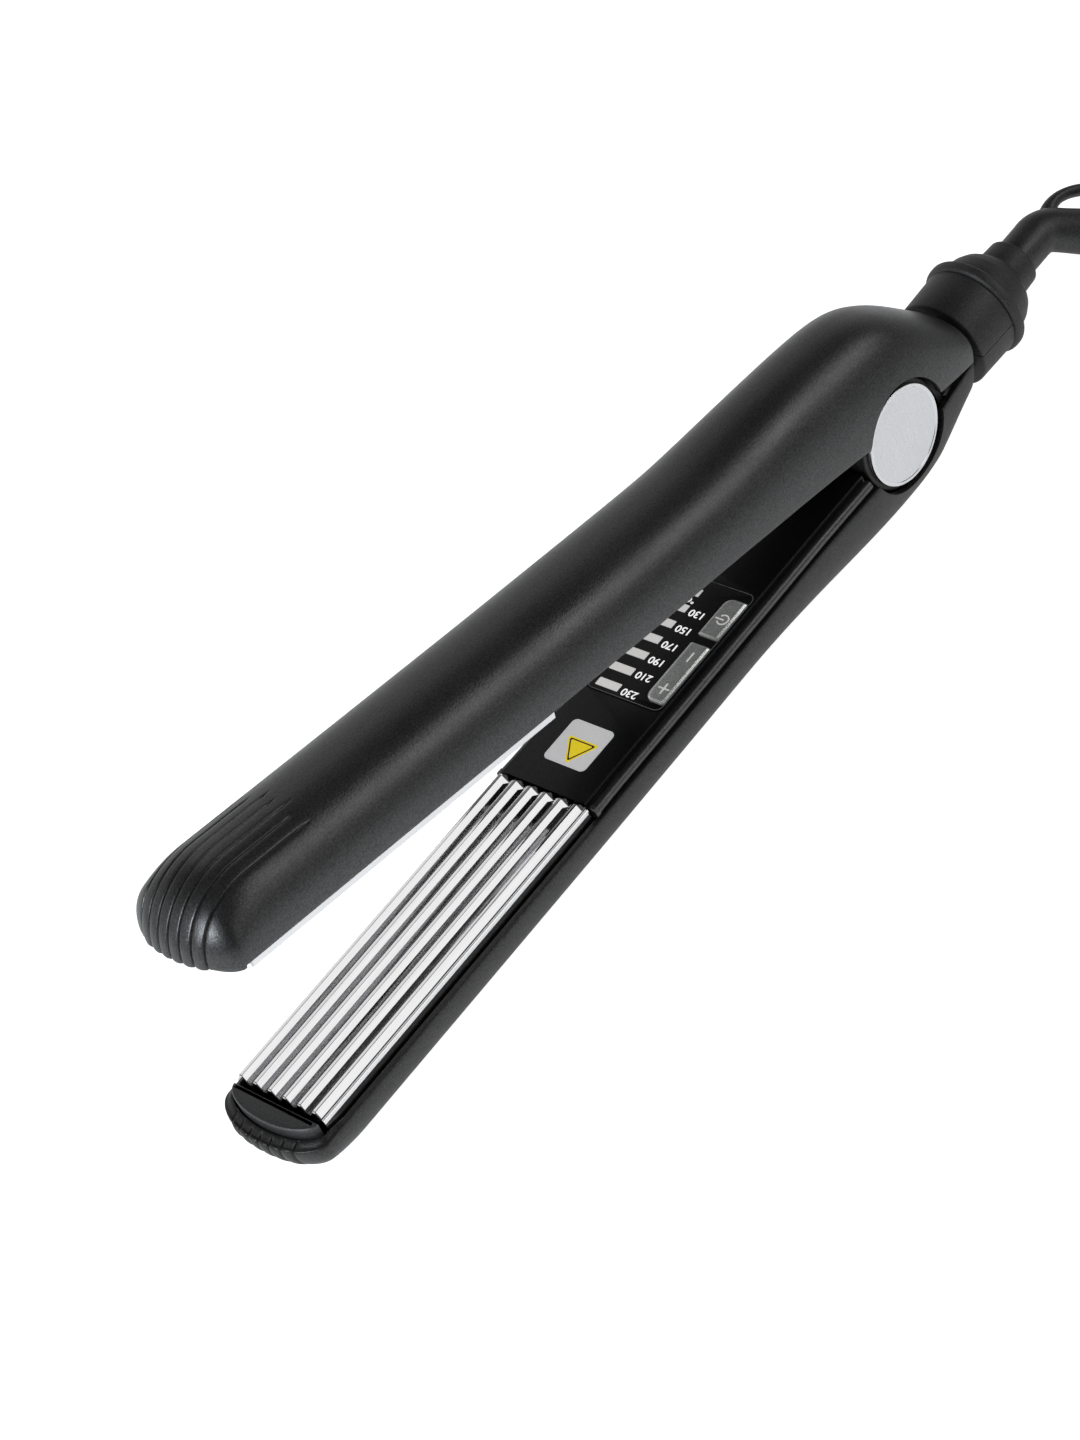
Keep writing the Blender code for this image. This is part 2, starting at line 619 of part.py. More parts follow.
# ---------------------------------------------------------------- control panel and keys
POWER = (-68.5, -57.0, -10.3, -5.2)             # x0, x1, y0, y1
ROCKER = (-88.6, -71.0, -10.4, -5.3)
POWER_RADII = (0.5, 0.5, 1.8, 0.5)
ROCKER_RADII = (0.5, 0.5, 0.5, 1.8)
KEY_GAP = 0.3
KEY_LEVELS = [              # z, growth of the outline: flange, then the tapering cap
    (-3.4, 0.7), (-2.45, 0.7), (-2.45, 0.0), (0.25, 0.0), (0.75, -0.45),
]
FLANGE_LIMIT = 0.25         # most that a flange grows toward -Y
POWER_X = (POWER[0] + POWER[1]) / 2
ROCKER_X = (ROCKER[0] + ROCKER[1]) / 2
PLUS_X, MINUS_X = -85.8, -73.8
KEY_Y = (POWER[2] + POWER[3]) / 2
STEM_R = 1.2

BAR_FIRST, BAR_PITCH, BAR_COUNT = -88.35, 5.03, 7
BAR_XS = [BAR_FIRST + BAR_PITCH * k for k in range(BAR_COUNT)]
BAR_HALF_X, BAR_HALF_Y = 1.05, 3.2
BAR_Y = 5.1
BAR_GAP = 0.15
BAR_TOP = 0.16
STRIP_TOP, STRIP_BOTTOM = -2.3, -3.6            # strip that joins the bars
STRIP_END = 0.5                                 # strip beyond the outer bars

SWITCH_LEVELS = [(2.6, -6.9), (2.6, -5.6), (1.2, -5.6), (1.2, -5.0)]    # half width, z


def add_panel_cuts(shape):
    """Openings for the two keys and the row of bars."""
    add_prism(shape, grown(POWER, POWER_RADII, KEY_GAP), 2, -4, 4)
    add_prism(shape, grown(ROCKER, ROCKER_RADII, KEY_GAP), 2, -4, 4)
    half_x, half_y = BAR_HALF_X + BAR_GAP, BAR_HALF_Y + BAR_GAP
    for x in BAR_XS:
        add_box(shape, (x - half_x, x + half_x), (BAR_Y - half_y, BAR_Y + half_y), (-4, 4))


def make_panel():
    panel = solid("control_panel", "inner_black", LOWER,
                  lambda shape: add_prism(shape, rounded(PANEL, PANEL_RADII), 2, -2.0, 0.12))
    combine(panel, "DIFFERENCE", "panel_cuts", add_panel_cuts)


def add_light_guide(shape):
    """Comb: a strip under the panel with one bar up through each slot."""
    first = BAR_XS[0] - BAR_HALF_X - STRIP_END
    last = BAR_XS[-1] + BAR_HALF_X + STRIP_END
    outline = [(last, STRIP_BOTTOM), (first, STRIP_BOTTOM), (first, STRIP_TOP)]
    for x in BAR_XS:
        x0, x1 = x - BAR_HALF_X, x + BAR_HALF_X
        outline += [(x0, STRIP_TOP), (x0, BAR_TOP), (x1, BAR_TOP), (x1, STRIP_TOP)]
    outline.append((last, STRIP_TOP))
    add_prism(shape, outline, 1, BAR_Y - BAR_HALF_Y, BAR_Y + BAR_HALF_Y)


def add_key(shape, box, radii):
    """Cap that tapers a little toward the top, with a flange that keeps it in."""
    x0, x1, y0, y1 = box
    loops = []
    for z, grow in KEY_LEVELS:
        level_box = (x0 - grow, x1 + grow, y0 - min(grow, FLANGE_LIMIT), y1 + grow)
        outline = rounded(level_box, [max(0.15, r + grow) for r in radii])
        loops.append([(x, y, z) for x, y in outline])
    add_loft(shape, loops)


def make_key(name, box, radii, stem_xs, origin):
    def add_stems(shape):
        for x in stem_xs:
            add_prism(shape, circle(STEM_R, 12, x, (box[2] + box[3]) / 2), 2, -4.55, -3.0)

    obj = solid(name, "satin_key", LOWER, lambda shape: add_key(shape, box, radii), origin=origin)
    combine(obj, "UNION", name + "_stems", add_stems)


def add_switch(shape, x):
    """Square body with a smaller square plunger on top."""
    add_loft(shape, [[(x - half, KEY_Y - half, z), (x + half, KEY_Y - half, z),
                      (x + half, KEY_Y + half, z), (x - half, KEY_Y + half, z)]
                     for half, z in SWITCH_LEVELS])


def make_board():
    solid("circuit_board", "board_green", LOWER,
          lambda shape: add_box(shape, (-94.5, -50.5), (-10.4, 10.2), (-8.6, -7.0)))
    for key, x in (("power", POWER_X), ("plus", PLUS_X), ("minus", MINUS_X)):
        solid(key + "_switch", "high_heat_plastic", LOWER, lambda shape: add_switch(shape, x))


make_panel()
solid("indicator_light_guide", "light_guide", LOWER, add_light_guide)
make_key("power_button", POWER, POWER_RADII, (POWER_X,), (POWER_X, KEY_Y, -2.0))
make_key("temperature_rocker", ROCKER, ROCKER_RADII, (PLUS_X, MINUS_X), (ROCKER_X, KEY_Y, -3.0))
make_board()

# ---------------------------------------------------------------- hinge
HUB_R, HUB_BACK, HUB_FACE = 13.2, 8.0, 12.5
CAP_R, CAP_BACK, CAP_FACE = 12.0, 12.75, 13.8
EDGE = 0.3                  # chamfer on the hubs and the pin
PIN_END = 12.4
HUB_PROFILE = [             # distance from the middle, radius
    (HUB_BACK, PIN_R + PIN_PLAY), (HUB_BACK, HUB_R - EDGE), (HUB_BACK + EDGE, HUB_R),
    (HUB_FACE - EDGE, HUB_R), (HUB_FACE, HUB_R - EDGE), (HUB_FACE, PIN_R + PIN_PLAY),
]
CAP_PROFILE = [
    (CAP_BACK, 0), (CAP_BACK, CAP_R), (CAP_FACE - 0.35, CAP_R), (CAP_FACE, CAP_R - 0.4),
    (CAP_FACE, 0),
]
PIN_PROFILE = [
    (-PIN_END, 0), (-PIN_END, PIN_R - EDGE), (EDGE - PIN_END, PIN_R),
    (PIN_END - EDGE, PIN_R), (PIN_END, PIN_R - EDGE), (PIN_END, 0),
]
SPRING_R, SPRING_HALF, SPRING_WIRE_R = 4.6, 3.9, 0.6
SPRING_TURNS, SPRING_LEG = 4, 20.0


def make_hub_and_cap(side, sign):
    for name, look, profile, count in (("hinge_hub_", "charcoal", HUB_PROFILE, 40),
                                       ("hinge_cap_", "brushed_cap", CAP_PROFILE, 48)):
        points = [(sign * y, radius) for y, radius in profile]
        solid(name + side, look, LOWER, lambda shape: add_turned(shape, points, 1, count))


def add_spring(shape):
    """Coil round the pin, one leg along each arm."""
    tilt = math.radians(OPEN_ANGLE)
    total = SPRING_TURNS * 2 * math.pi + math.pi - tilt
    steps = 12 * SPRING_TURNS + 6
    path = [(-SPRING_LEG, -SPRING_HALF, -SPRING_R)]
    for k in range(steps + 1):
        angle = -math.pi / 2 - total * k / steps
        path.append((SPRING_R * math.cos(angle), SPRING_HALF * (2 * k / steps - 1),
                     SPRING_R * math.sin(angle)))
    x, y, z = path[-1]
    path.append((x - SPRING_LEG * math.cos(tilt), y, z + SPRING_LEG * math.sin(tilt)))
    add_tube(shape, path, SPRING_WIRE_R, 8)


make_hub_and_cap("left", -1)
make_hub_and_cap("right", 1)
solid("hinge_pin", "steel", LOWER, lambda shape: add_turned(shape, PIN_PROFILE, 1, 24))
solid("torsion_spring", "steel", LOWER, add_spring, smooth=60)

# ---------------------------------------------------------------- barrel and swivel
BARREL_R = 12.0
BARREL_FRONT, BARREL_REAR = 31.8, 43.6
SPLIT = 0.12                # each half of the collar stands off the split by this
RING_R = 12.8               # widest ring of the swivel

# Profiles are x, radius. Collar: flange inside the housings, neck through their mouth,
# barrel with a lip that keeps the swivel in.
COLLAR_FLANGE = [(15.0, 6.0), (15.0, 11.2), (16.6, 11.2)]
UPPER_NECK = [(16.6, 7.3), (BARREL_FRONT, 7.3)]
LOWER_NECK = [(16.6, 7.5), (24.7, 7.5), (24.7, 9.0), (BARREL_FRONT, 9.0)]
COLLAR_BARREL = [
    (BARREL_FRONT, BARREL_R - 0.7), (BARREL_FRONT + 0.7, BARREL_R - 0.05),
    (BARREL_REAR, BARREL_R + 0.25), (BARREL_REAR, 8.8), (41.9, 8.8), (41.9, 9.9), (32.4, 9.9),
    (32.4, 6.0),
]
SWIVEL_PROFILE = [
    (37.5, 5.6), (37.5, 9.4), (39.5, 9.4), (39.5, 8.4), (43.9, 8.4), (43.9, RING_R - 0.5),
    (44.4, RING_R), (46.2, RING_R), (46.7, RING_R - 0.6), (46.8, 11.7), (48.6, 11.4),
    (51.2, 10.7), (53.2, 9.7), (54.6, 8.4), (55.2, 7.2), (56.0, 6.8), (61.2, 6.5), (62.0, 6.0),
    (62.0, 5.65), (49.5, 5.65), (49.5, 5.6),
]


def half_collar(side, neck, start, shift):
    profile = COLLAR_FLANGE + neck + COLLAR_BARREL
    solid("rear_collar_" + side, "charcoal", LOWER,
          lambda shape: add_turned(shape, profile, 0, 20, centre=(0, BARREL_Z + shift),
                                   sweep=180.0, start=start))


half_collar("upper", UPPER_NECK, 0.0, SPLIT)
half_collar("lower", LOWER_NECK, 180.0, -SPLIT)
solid("swivel_cap", "charcoal", SWIVEL, lambda shape: add_turned(shape, SWIVEL_PROFILE, 0, 32))

# ---------------------------------------------------------------- strain relief, loop and cord
BEND_ANGLE = math.radians(52.9)     # of the elbow, toward -Z in the swivel's frame
ROLL_ANGLE = math.radians(ROLL)
ELBOW_X = 73.6                      # corner of the elbow
ELBOW_TURN = 7.0                    # radius of its centre line
ELBOW_STEPS = 8
RELIEF_START = 50.0
RELIEF_LENGTH = 30.0                # straight part behind the elbow
STRAIGHT_R, BEND_R = 5.2, 5.25
RELIEF_TAIL = [                     # distance behind the corner, radius
    (6.0, 5.5), (12.0, 5.5), (18.0, 5.1), (23.0, 4.5), (27.0, 4.0), (RELIEF_LENGTH, 3.7),
]
LOOP_MIDDLE, LOOP_HALF = 14.2, 12.6     # along the relief, behind the corner
LOOP_BASE, LOOP_RISE = 2.0, 10.0        # outward from the relief's centre line
LOOP_RADII = (2.0, 1.15)                # across and in the plane of the loop
CORD_R = 2.9
CORD_STEPS, CORD_STEP = 12, 5.0
CORD_LEVELLING_R = 16.0             # radius on which the cord levels out
CORD_DRIFT = 3.0                    # degrees it turns sideways at each step


def along(distance, outward=0.0):
    """x, z at a distance behind the elbow's corner, offset to the elbow's outer side."""
    return (ELBOW_X + distance * math.cos(BEND_ANGLE) + outward * math.sin(BEND_ANGLE),
            -distance * math.sin(BEND_ANGLE) + outward * math.cos(BEND_ANGLE))


def add_relief(shape):
    """Straight, the elbow, straight and tapering."""
    bend_start = ELBOW_X - ELBOW_TURN * math.tan(BEND_ANGLE / 2)
    path = [(RELIEF_START, 0.0), (RELIEF_START + 7.0, 0.0), (bend_start - 1.0, 0.0)]
    for k in range(ELBOW_STEPS + 1):
        angle = BEND_ANGLE * k / ELBOW_STEPS
        path.append((bend_start + ELBOW_TURN * math.sin(angle),
                     -ELBOW_TURN * (1 - math.cos(angle))))
    path += [along(distance) for distance, radius in RELIEF_TAIL]
    radii = [STRAIGHT_R] * 3 + [BEND_R] * (ELBOW_STEPS + 1)
    radii += [radius for distance, radius in RELIEF_TAIL]
    add_tube(shape, [(x, 0, z) for x, z in path], [(r, r) for r in radii], 20)


def add_hang_loop(shape):
    """Half ring that stands on the outer side of the elbow."""
    path = []
    for k in range(15):
        angle = math.pi * k / 14
        x, z = along(LOOP_MIDDLE - LOOP_HALF * math.cos(angle),
                     LOOP_BASE + LOOP_RISE * math.sin(angle) ** 0.8)
        path.append((x, 0, z))
    add_tube(shape, path, [LOOP_RADII] * len(path), 12)


def add_cord(shape):
    """Leaves the strain relief and levels out on the table. Laid out upright, then turned
    into the swivel's frame."""
    x, z = along(RELIEF_LENGTH + 0.3)
    points = [Vector((x, z * math.sin(ROLL_ANGLE), z * math.cos(ROLL_ANGLE)))]
    drop = math.sin(BEND_ANGLE)
    heading = Vector((math.cos(BEND_ANGLE), -drop * math.sin(ROLL_ANGLE), 0)).normalized()
    slope = math.asin(drop * math.cos(ROLL_ANGLE))
    lowest = CORD_R + 0.15 - HINGE_HEIGHT - BARREL_Z
    for k in range(CORD_STEPS):
        room = points[-1].z - lowest
        slope = min(slope, math.acos(min(1.0, 1 - room / CORD_LEVELLING_R)))
        heading = Matrix.Rotation(math.radians(CORD_DRIFT), 3, "Z") @ heading
        step = heading * math.cos(slope) - Vector((0, 0, math.sin(slope)))
        points.append(points[-1] + CORD_STEP * step)
    turn = Matrix.Rotation(ROLL_ANGLE, 3, "X")
    add_tube(shape, [turn @ p for p in points], CORD_R, 14)


relief = solid("strain_relief", "rubber", SWIVEL, add_relief, smooth=50)
combine(relief, "UNION", "hang_loop_ring", add_hang_loop)
solid("power_cord", "rubber", SWIVEL, add_cord, smooth=60)

# ---------------------------------------------------------------- wiring
# Name, frame, radius, path of x, y, z.
LEADS = [
    ("lower_heater_lead", LOWER, 0.9,
     [(-96, 3, -9.6), (-104, 2, -8.4), (-112, 5, -8.4), (-121.5, 6.5, -8.6)]),
    ("upper_heater_lead", UPPER, 0.9,
     [(-18, 9.5, 8.0), (-40, 8, 9.0), (-90, 4, 9.0), (-112, 5, 8.6), (-121.5, 6.5, 8.6)]),
    ("mains_lead", LOWER, 1.5,
     [(-49.5, 6, -9.0), (-40, 8.5, -11.0), (-20, 5, -14.0), (0, 0, -16.0), (8, 0, -13),
      (14, 0, -8), (22, 0, BARREL_Z), (36, 0, BARREL_Z)]),
]
for lead_name, lead_frame, lead_radius, lead_path in LEADS:
    solid(lead_name, "wire", lead_frame,
          lambda shape: add_tube(shape, lead_path, lead_radius, 8), smooth=60)
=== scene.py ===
"""Hair crimper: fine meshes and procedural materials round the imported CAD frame.

The hinge pin lies along Y. Both arms reach from it to their tips at -X, and the cord leaves at +X.
The lower arm is level, below the hinge plane; the upper arm is turned up about the pin.
Pieces are drawn in mm from the hinge axis, each in the frame of its own arm.
"""
import math

import bmesh
import bpy
import numpy as np
from mathutils import Matrix, Vector


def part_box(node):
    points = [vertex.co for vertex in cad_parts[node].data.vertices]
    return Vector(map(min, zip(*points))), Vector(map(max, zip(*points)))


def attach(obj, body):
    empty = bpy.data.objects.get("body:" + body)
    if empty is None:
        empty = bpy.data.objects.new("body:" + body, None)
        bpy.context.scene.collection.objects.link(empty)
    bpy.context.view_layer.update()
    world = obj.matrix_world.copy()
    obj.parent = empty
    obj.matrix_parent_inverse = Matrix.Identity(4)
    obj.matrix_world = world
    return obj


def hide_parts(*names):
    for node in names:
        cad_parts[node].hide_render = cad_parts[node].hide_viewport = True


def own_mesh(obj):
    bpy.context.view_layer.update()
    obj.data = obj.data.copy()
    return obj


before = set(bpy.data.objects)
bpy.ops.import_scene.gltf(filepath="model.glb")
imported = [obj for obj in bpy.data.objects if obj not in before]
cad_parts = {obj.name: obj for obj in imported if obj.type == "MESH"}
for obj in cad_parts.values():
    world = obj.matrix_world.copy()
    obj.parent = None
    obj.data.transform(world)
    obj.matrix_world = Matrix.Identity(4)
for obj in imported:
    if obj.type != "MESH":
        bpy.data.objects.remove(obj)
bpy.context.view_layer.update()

# ------------------------------------------------------------------ frames
MM = 0.001
pin_low, pin_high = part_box("hinge_pin")
HINGE_Z = ((pin_low + pin_high) / 2).z  # metres above the floor
OPEN_ANGLE = 12.17  # degrees between the arms
BARREL_Z = -5.35  # axis of the rear barrel and of the cord swivel
ROLL = 58.0  # degrees the cord exit is turned about the barrel
LOWER = Matrix.Translation((0.0, 0.0, HINGE_Z))
UPPER = LOWER @ Matrix.Rotation(math.radians(OPEN_ANGLE), 4, "Y")
SWIVEL = (LOWER @ Matrix.Translation((0.0, 0.0, BARREL_Z * MM))
          @ Matrix.Rotation(math.radians(-ROLL), 4, "X"))

# ------------------------------------------------------------------ driving dimensions (mm)
# Housings: heights are distances from the hinge plane, away from the other arm.
TIP_X, REAR_X = -218.2, 27.2
HALF_WIDTH = 15.3
RIM_Z, NOSE_RIM = 4.0, 3.2  # the rim, and its inner edge round the nose
CORE_Z = 5.0  # where the rounded section starts
ROUNDNESS = 2.3  # superellipse power of the section
WALL = 1.8
NOSE_PLAN, NOSE_SIDE = 7.0, 17.0  # length of the nose rounding from above and from the side
INNER_TIP, INNER_PLAN, INNER_HALF = -215.25, 5.2, 13.5  # nose outline of the inner surface
POCKET_R = 13.6  # clearance round the hinge

# Crimp plates
PLATE_FRONT, PLATE_REAR = -208.85, -118.85
RIDGE_PITCH, RIDGE_HEIGHT = 4.407, 1.07
RIDGE_FLAT, RIDGE_ROUND = 0.40, 0.12  # half the flat of each crest and valley, corner radius
PLATE_HALF = 13.1
PLATE_GAP = 0.30  # the upper plate stands off the hinge plane

# Panel and keys: boxes are x0, x1, y0, y1
PANEL = (-90.8, -54.0, -11.45, 10.4)
PANEL_ROUND = 2.0
POWER, POWER_RADII = (-68.5, -57.0, -10.95, -5.4), (0.4, 0.4, 2.2, 0.4)
ROCKER, ROCKER_RADII = (-88.6, -71.0, -10.95, -5.5), (0.4, 0.4, 0.4, 2.2)
KEY_TOP = 0.75
PRINT_Z = 0.12  # printed face of the panel

# Barrel and cord
BARREL_R, BARREL_FRONT, BARREL_REAR = 12.0, 31.8, 43.6
BEND = math.radians(52.9)
ELBOW_X, ELBOW_TURN = 73.6, 7.0  # corner of the cord axis and the radius that rounds it
RELIEF_LENGTH = 30.0
CORD_R = 2.9


# ------------------------------------------------------------------ node helpers
def new_material(name):
    mat = bpy.data.materials.new(name)
    mat.use_nodes = True
    tree = mat.node_tree
    for node in list(tree.nodes):
        if node.type != "OUTPUT_MATERIAL":
            tree.nodes.remove(node)
    shader = tree.nodes.new("ShaderNodeBsdfPrincipled")
    tree.links.new(shader.outputs["BSDF"], tree.nodes["Material Output"].inputs["Surface"])
    return mat, tree, shader


def coords(tree, stretch=(1, 1, 1)):
    """Object coordinates, which ride with the piece; a small stretch draws lines along its axis."""
    tex = tree.nodes.new("ShaderNodeTexCoord")
    mapping = tree.nodes.new("ShaderNodeMapping")
    mapping.inputs["Scale"].default_value = stretch
    tree.links.new(tex.outputs["Object"], mapping.inputs["Vector"])
    return mapping.outputs["Vector"]


def noise(tree, vector, scale, detail=2.0, rough=0.5, distortion=0.0):
    node = tree.nodes.new("ShaderNodeTexNoise")
    node.inputs["Scale"].default_value = scale
    node.inputs["Detail"].default_value = detail
    node.inputs["Roughness"].default_value = rough
    node.inputs["Distortion"].default_value = distortion
    tree.links.new(vector, node.inputs["Vector"])
    return node.outputs["Fac"]


def span(tree, value, low, high, start=0.3, end=0.7):
    """Maps a value running from start to end onto low to high."""
    node = tree.nodes.new("ShaderNodeMapRange")
    node.inputs["From Min"].default_value = start
    node.inputs["From Max"].default_value = end
    node.inputs["To Min"].default_value = low
    node.inputs["To Max"].default_value = high
    tree.links.new(value, node.inputs["Value"])
    return node.outputs["Result"]


def maths(tree, operation, first, second):
    node = tree.nodes.new("ShaderNodeMath")
    node.operation = operation
    for slot, item in zip(node.inputs, (first, second)):
        if isinstance(item, (int, float)):
            slot.default_value = item
        else:
            tree.links.new(item, slot)
    return node.outputs[0]


def mix(tree, factor, first, second):
    node = tree.nodes.new("ShaderNodeMix")
    node.data_type = "RGBA"
    tree.links.new(factor, node.inputs[0])
    colours = [socket for socket in node.inputs if socket.type == "RGBA"]
    for slot, item in zip(colours, (first, second)):
        if isinstance(item, tuple):
            slot.default_value = (*item, 1.0)
        else:
            tree.links.new(item, slot)
    return [socket for socket in node.outputs if socket.type == "RGBA"][0]


def bump(tree, shader, height, distance):
    node = tree.nodes.new("ShaderNodeBump")
    node.inputs["Strength"].default_value = 1.0
    node.inputs["Distance"].default_value = distance
    tree.links.new(height, node.inputs["Height"])
    tree.links.new(node.outputs["Normal"], shader.inputs["Normal"])


def edge_wear(tree, amount):
    """0 on flat and hollow surfaces, up to amount on sharp convex edges."""
    geometry = tree.nodes.new("ShaderNodeNewGeometry")
    return span(tree, geometry.outputs["Pointiness"], 0.0, amount, start=0.52, end=0.60)


# ------------------------------------------------------------------ materials
def moulded(name, colour, rough, grain, grain_depth, specular, variation, paling):
    """Moulded plastic: fine spark-eroded grain, cloudy gloss, slightly paler sharp convex edges."""
    mat, tree, shader = new_material(name)
    vector = coords(tree)
    fine = noise(tree, vector, grain, rough=0.6)
    cloud = noise(tree, vector, 42.0, detail=3.0, rough=0.55)
    middle = noise(tree, vector, 620.0)
    low = tuple(c * (1 - variation * 0.5) for c in colour)
    high = tuple(min(1.0, c * (1 + variation) + 0.002) for c in colour)
    mottle = maths(tree, "ADD", maths(tree, "MULTIPLY", fine, 0.6),
                   maths(tree, "MULTIPLY", cloud, 0.4))
    base = mix(tree, span(tree, mottle, 0.0, 1.0, start=0.35, end=0.65), low, high)
    if paling:
        pale = tuple(min(1.0, c * 2.6 + 0.02) for c in colour)
        base = mix(tree, edge_wear(tree, paling), base, pale)
    tree.links.new(base, shader.inputs["Base Color"])
    gloss = maths(tree, "ADD", span(tree, cloud, rough - 0.03, rough + 0.04),
                  span(tree, middle, -0.02, 0.02))
    gloss = maths(tree, "ADD", gloss, span(tree, fine, -0.03, 0.03))
    tree.links.new(gloss, shader.inputs["Roughness"])
    shine = span(tree, fine, specular * 0.72, specular * 1.28, start=0.35, end=0.65)
    tree.links.new(shine, shader.inputs["Specular IOR Level"])
    bump(tree, shader, fine, grain_depth)
    return mat


def metal(name, colour, rough, stretch, grain, depth, streak, tint, metallic):
    """Metal with fine drawn or brushed lines along the axis whose stretch is smallest."""
    mat, tree, shader = new_material(name)
    lines = noise(tree, coords(tree, stretch), grain, detail=3.0, rough=0.65)
    plain = coords(tree)
    cloud = noise(tree, plain, 60.0, detail=3.0)
    smear = noise(tree, plain, 350.0, distortion=0.4)
    low = tuple(c * (1 - tint) for c in colour)
    high = tuple(min(1.0, c * (1 + tint)) for c in colour)
    base = mix(tree, span(tree, lines, 0.0, 1.0), low, high)
    tree.links.new(base, shader.inputs["Base Color"])
    gloss = maths(tree, "ADD", span(tree, lines, rough - streak / 2, rough + streak / 2),
                  span(tree, cloud, -0.2 * rough, 0.25 * rough))
    gloss = maths(tree, "ADD", gloss, span(tree, smear, -0.08 * rough, 0.1 * rough))
    tree.links.new(gloss, shader.inputs["Roughness"])
    shader.inputs["Metallic"].default_value = metallic
    if depth:
        bump(tree, shader, lines, depth)
    return mat


# key: name, colour, roughness, grain scale, grain depth (m), specular, colour variation, edge paling
MOULDED = {
    "soft_black": ("soft_touch_black", (0.0072, 0.0069, 0.0066),
                   0.35, 2600, 0.000055, 1.0, 0.30, 0.22),
    # lighter copy of the soft-touch black for the lower housing: painted light from the bright floor on
    # its wall
    "soft_black_painted_lit": ("soft_touch_black_painted_lit", (0.0125, 0.0112, 0.0100),
                         0.42, 2600, 0.000060, 0.58, 0.30, 0.22),
    "inner_black": ("satin_inner_black", (0.0042, 0.0044, 0.0060),
                    0.42, 4200, 0.000018, 0.32, 0.30, 0.10),
    # the beads are the cover's own black made brighter: painted light where they catch the light
    "bead": ("satin_bead_painted_lit", (0.028, 0.027, 0.026), 0.32, 3000, 0.000030, 1.0, 0.25, 0.25),
    # the tip pad's sharp edges are made far paler: a painted highlight along its edge
    "tip_pad": ("satin_tip_pad", (0.022, 0.022, 0.022), 0.42, 3000, 0.000030, 1.0, 0.25, 0.9),
    "charcoal": ("charcoal_moulding", (0.028, 0.026, 0.025),
                 0.50, 2800, 0.000060, 0.60, 0.30, 0.30),
    "rubber": ("cord_rubber", (0.016, 0.0155, 0.015), 0.42, 2800, 0.000050, 0.80, 0.30, 0.25),
    "ceramic": ("heater_ceramic", (0.70, 0.68, 0.62), 0.60, 2600, 0.00003, 0.4, 0.10, 0.0),
    "silicone": ("silicone_pad", (0.42, 0.11, 0.08), 0.62, 2200, 0.00003, 0.4, 0.15, 0.0),
    "high_heat_plastic": ("glass_filled_plastic", (0.016, 0.016, 0.017),
                          0.55, 2600, 0.00004, 0.4, 0.4, 0.1),
    "board_green": ("board_laminate", (0.015, 0.13, 0.055), 0.40, 1800, 0.00001, 0.5, 0.2, 0.0),
    "wire": ("glass_sleeve", (0.62, 0.60, 0.55), 0.70, 1600, 0.00006, 0.3, 0.2, 0.0),
    "light_guide": ("frosted_bar", (0.86, 0.85, 0.84), 0.30, 3000, 0.000008, 0.5, 0.08, 0.0),
    "print": ("pad_printed_ink", (0.92, 0.92, 0.92), 0.55, 3000, 0.000008, 0.4, 0.10, 0.0),
    "sticker": ("foil_label", (0.86, 0.86, 0.87), 0.42, 2600, 0.000008, 0.5, 0.10, 0.0),
    "yellow": ("label_yellow", (0.95, 0.72, 0.01), 0.45, 2600, 0.000008, 0.5, 0.08, 0.0),
    "ink_black": ("label_black", (0.010, 0.010, 0.010), 0.45, 2600, 0.000008, 0.5, 0.2, 0.0),
    "outline": ("dim_outline", (0.34, 0.34, 0.34), 0.40, 3000, 0.000008, 0.6, 0.10, 0.0),
    # the key marks' pale colour is a painted highlight on the raised symbols
    "key_mark": ("key_mark_painted_highlight", (0.80, 0.79, 0.77), 0.30, 3000, 0.000004, 0.5, 0.06, 0.0),
}
# key: name, colour, roughness, stretch, line scale, line depth (m), streak, tint, metallic
METALS = {
    "mirror_plate": ("polished_plate", (0.72, 0.716, 0.72),
                     0.045, (0.015, 1, 1), 1500, 0.0, 0.012, 0.03, 1.0),
    "plate_edge": ("plate_flange", (0.93, 0.925, 0.93),
                   0.045, (0.015, 1, 1), 1500, 0.0, 0.012, 0.03, 1.0),
    "satin_key": ("satin_key", (0.66, 0.68, 0.66),
                  0.24, (1, 1, 1), 2400, 0.0, 0.10, 0.22, 0.85),
    "brushed_cap": ("brushed_cap", (0.80, 0.80, 0.82),
                    0.30, (1, 1, 0.02), 3500, 0.0000015, 0.12, 0.05, 1.0),
    "cap_edge": ("turned_cap_edge", (0.86, 0.86, 0.87),
                 0.16, (1, 1, 1), 2500, 0.000002, 0.05, 0.04, 1.0),
    "steel": ("drawn_steel", (0.56, 0.57, 0.58),
              0.28, (0.1, 1, 1), 2200, 0.000004, 0.08, 0.08, 1.0),
}
# Emission strength of the pale parts, in the colour of their own surface: painted light, they glow
# though none is a lamp, so they look brighter
GLOW = {"light_guide": 0.46, "print": 0.85, "sticker": 0.34, "yellow": 0.50, "satin_key": 0.13}
# Painted highlight: the raised key marks glow in a pale colour of their own
PAINTED_MARK_GLOW, PAINTED_MARK_GLOW_COLOUR = 0.42, (0.8, 0.79, 0.77, 1)

MATS = {key: moulded(*row) for key, row in MOULDED.items()}
MATS.update({key: metal(*row) for key, row in METALS.items()})


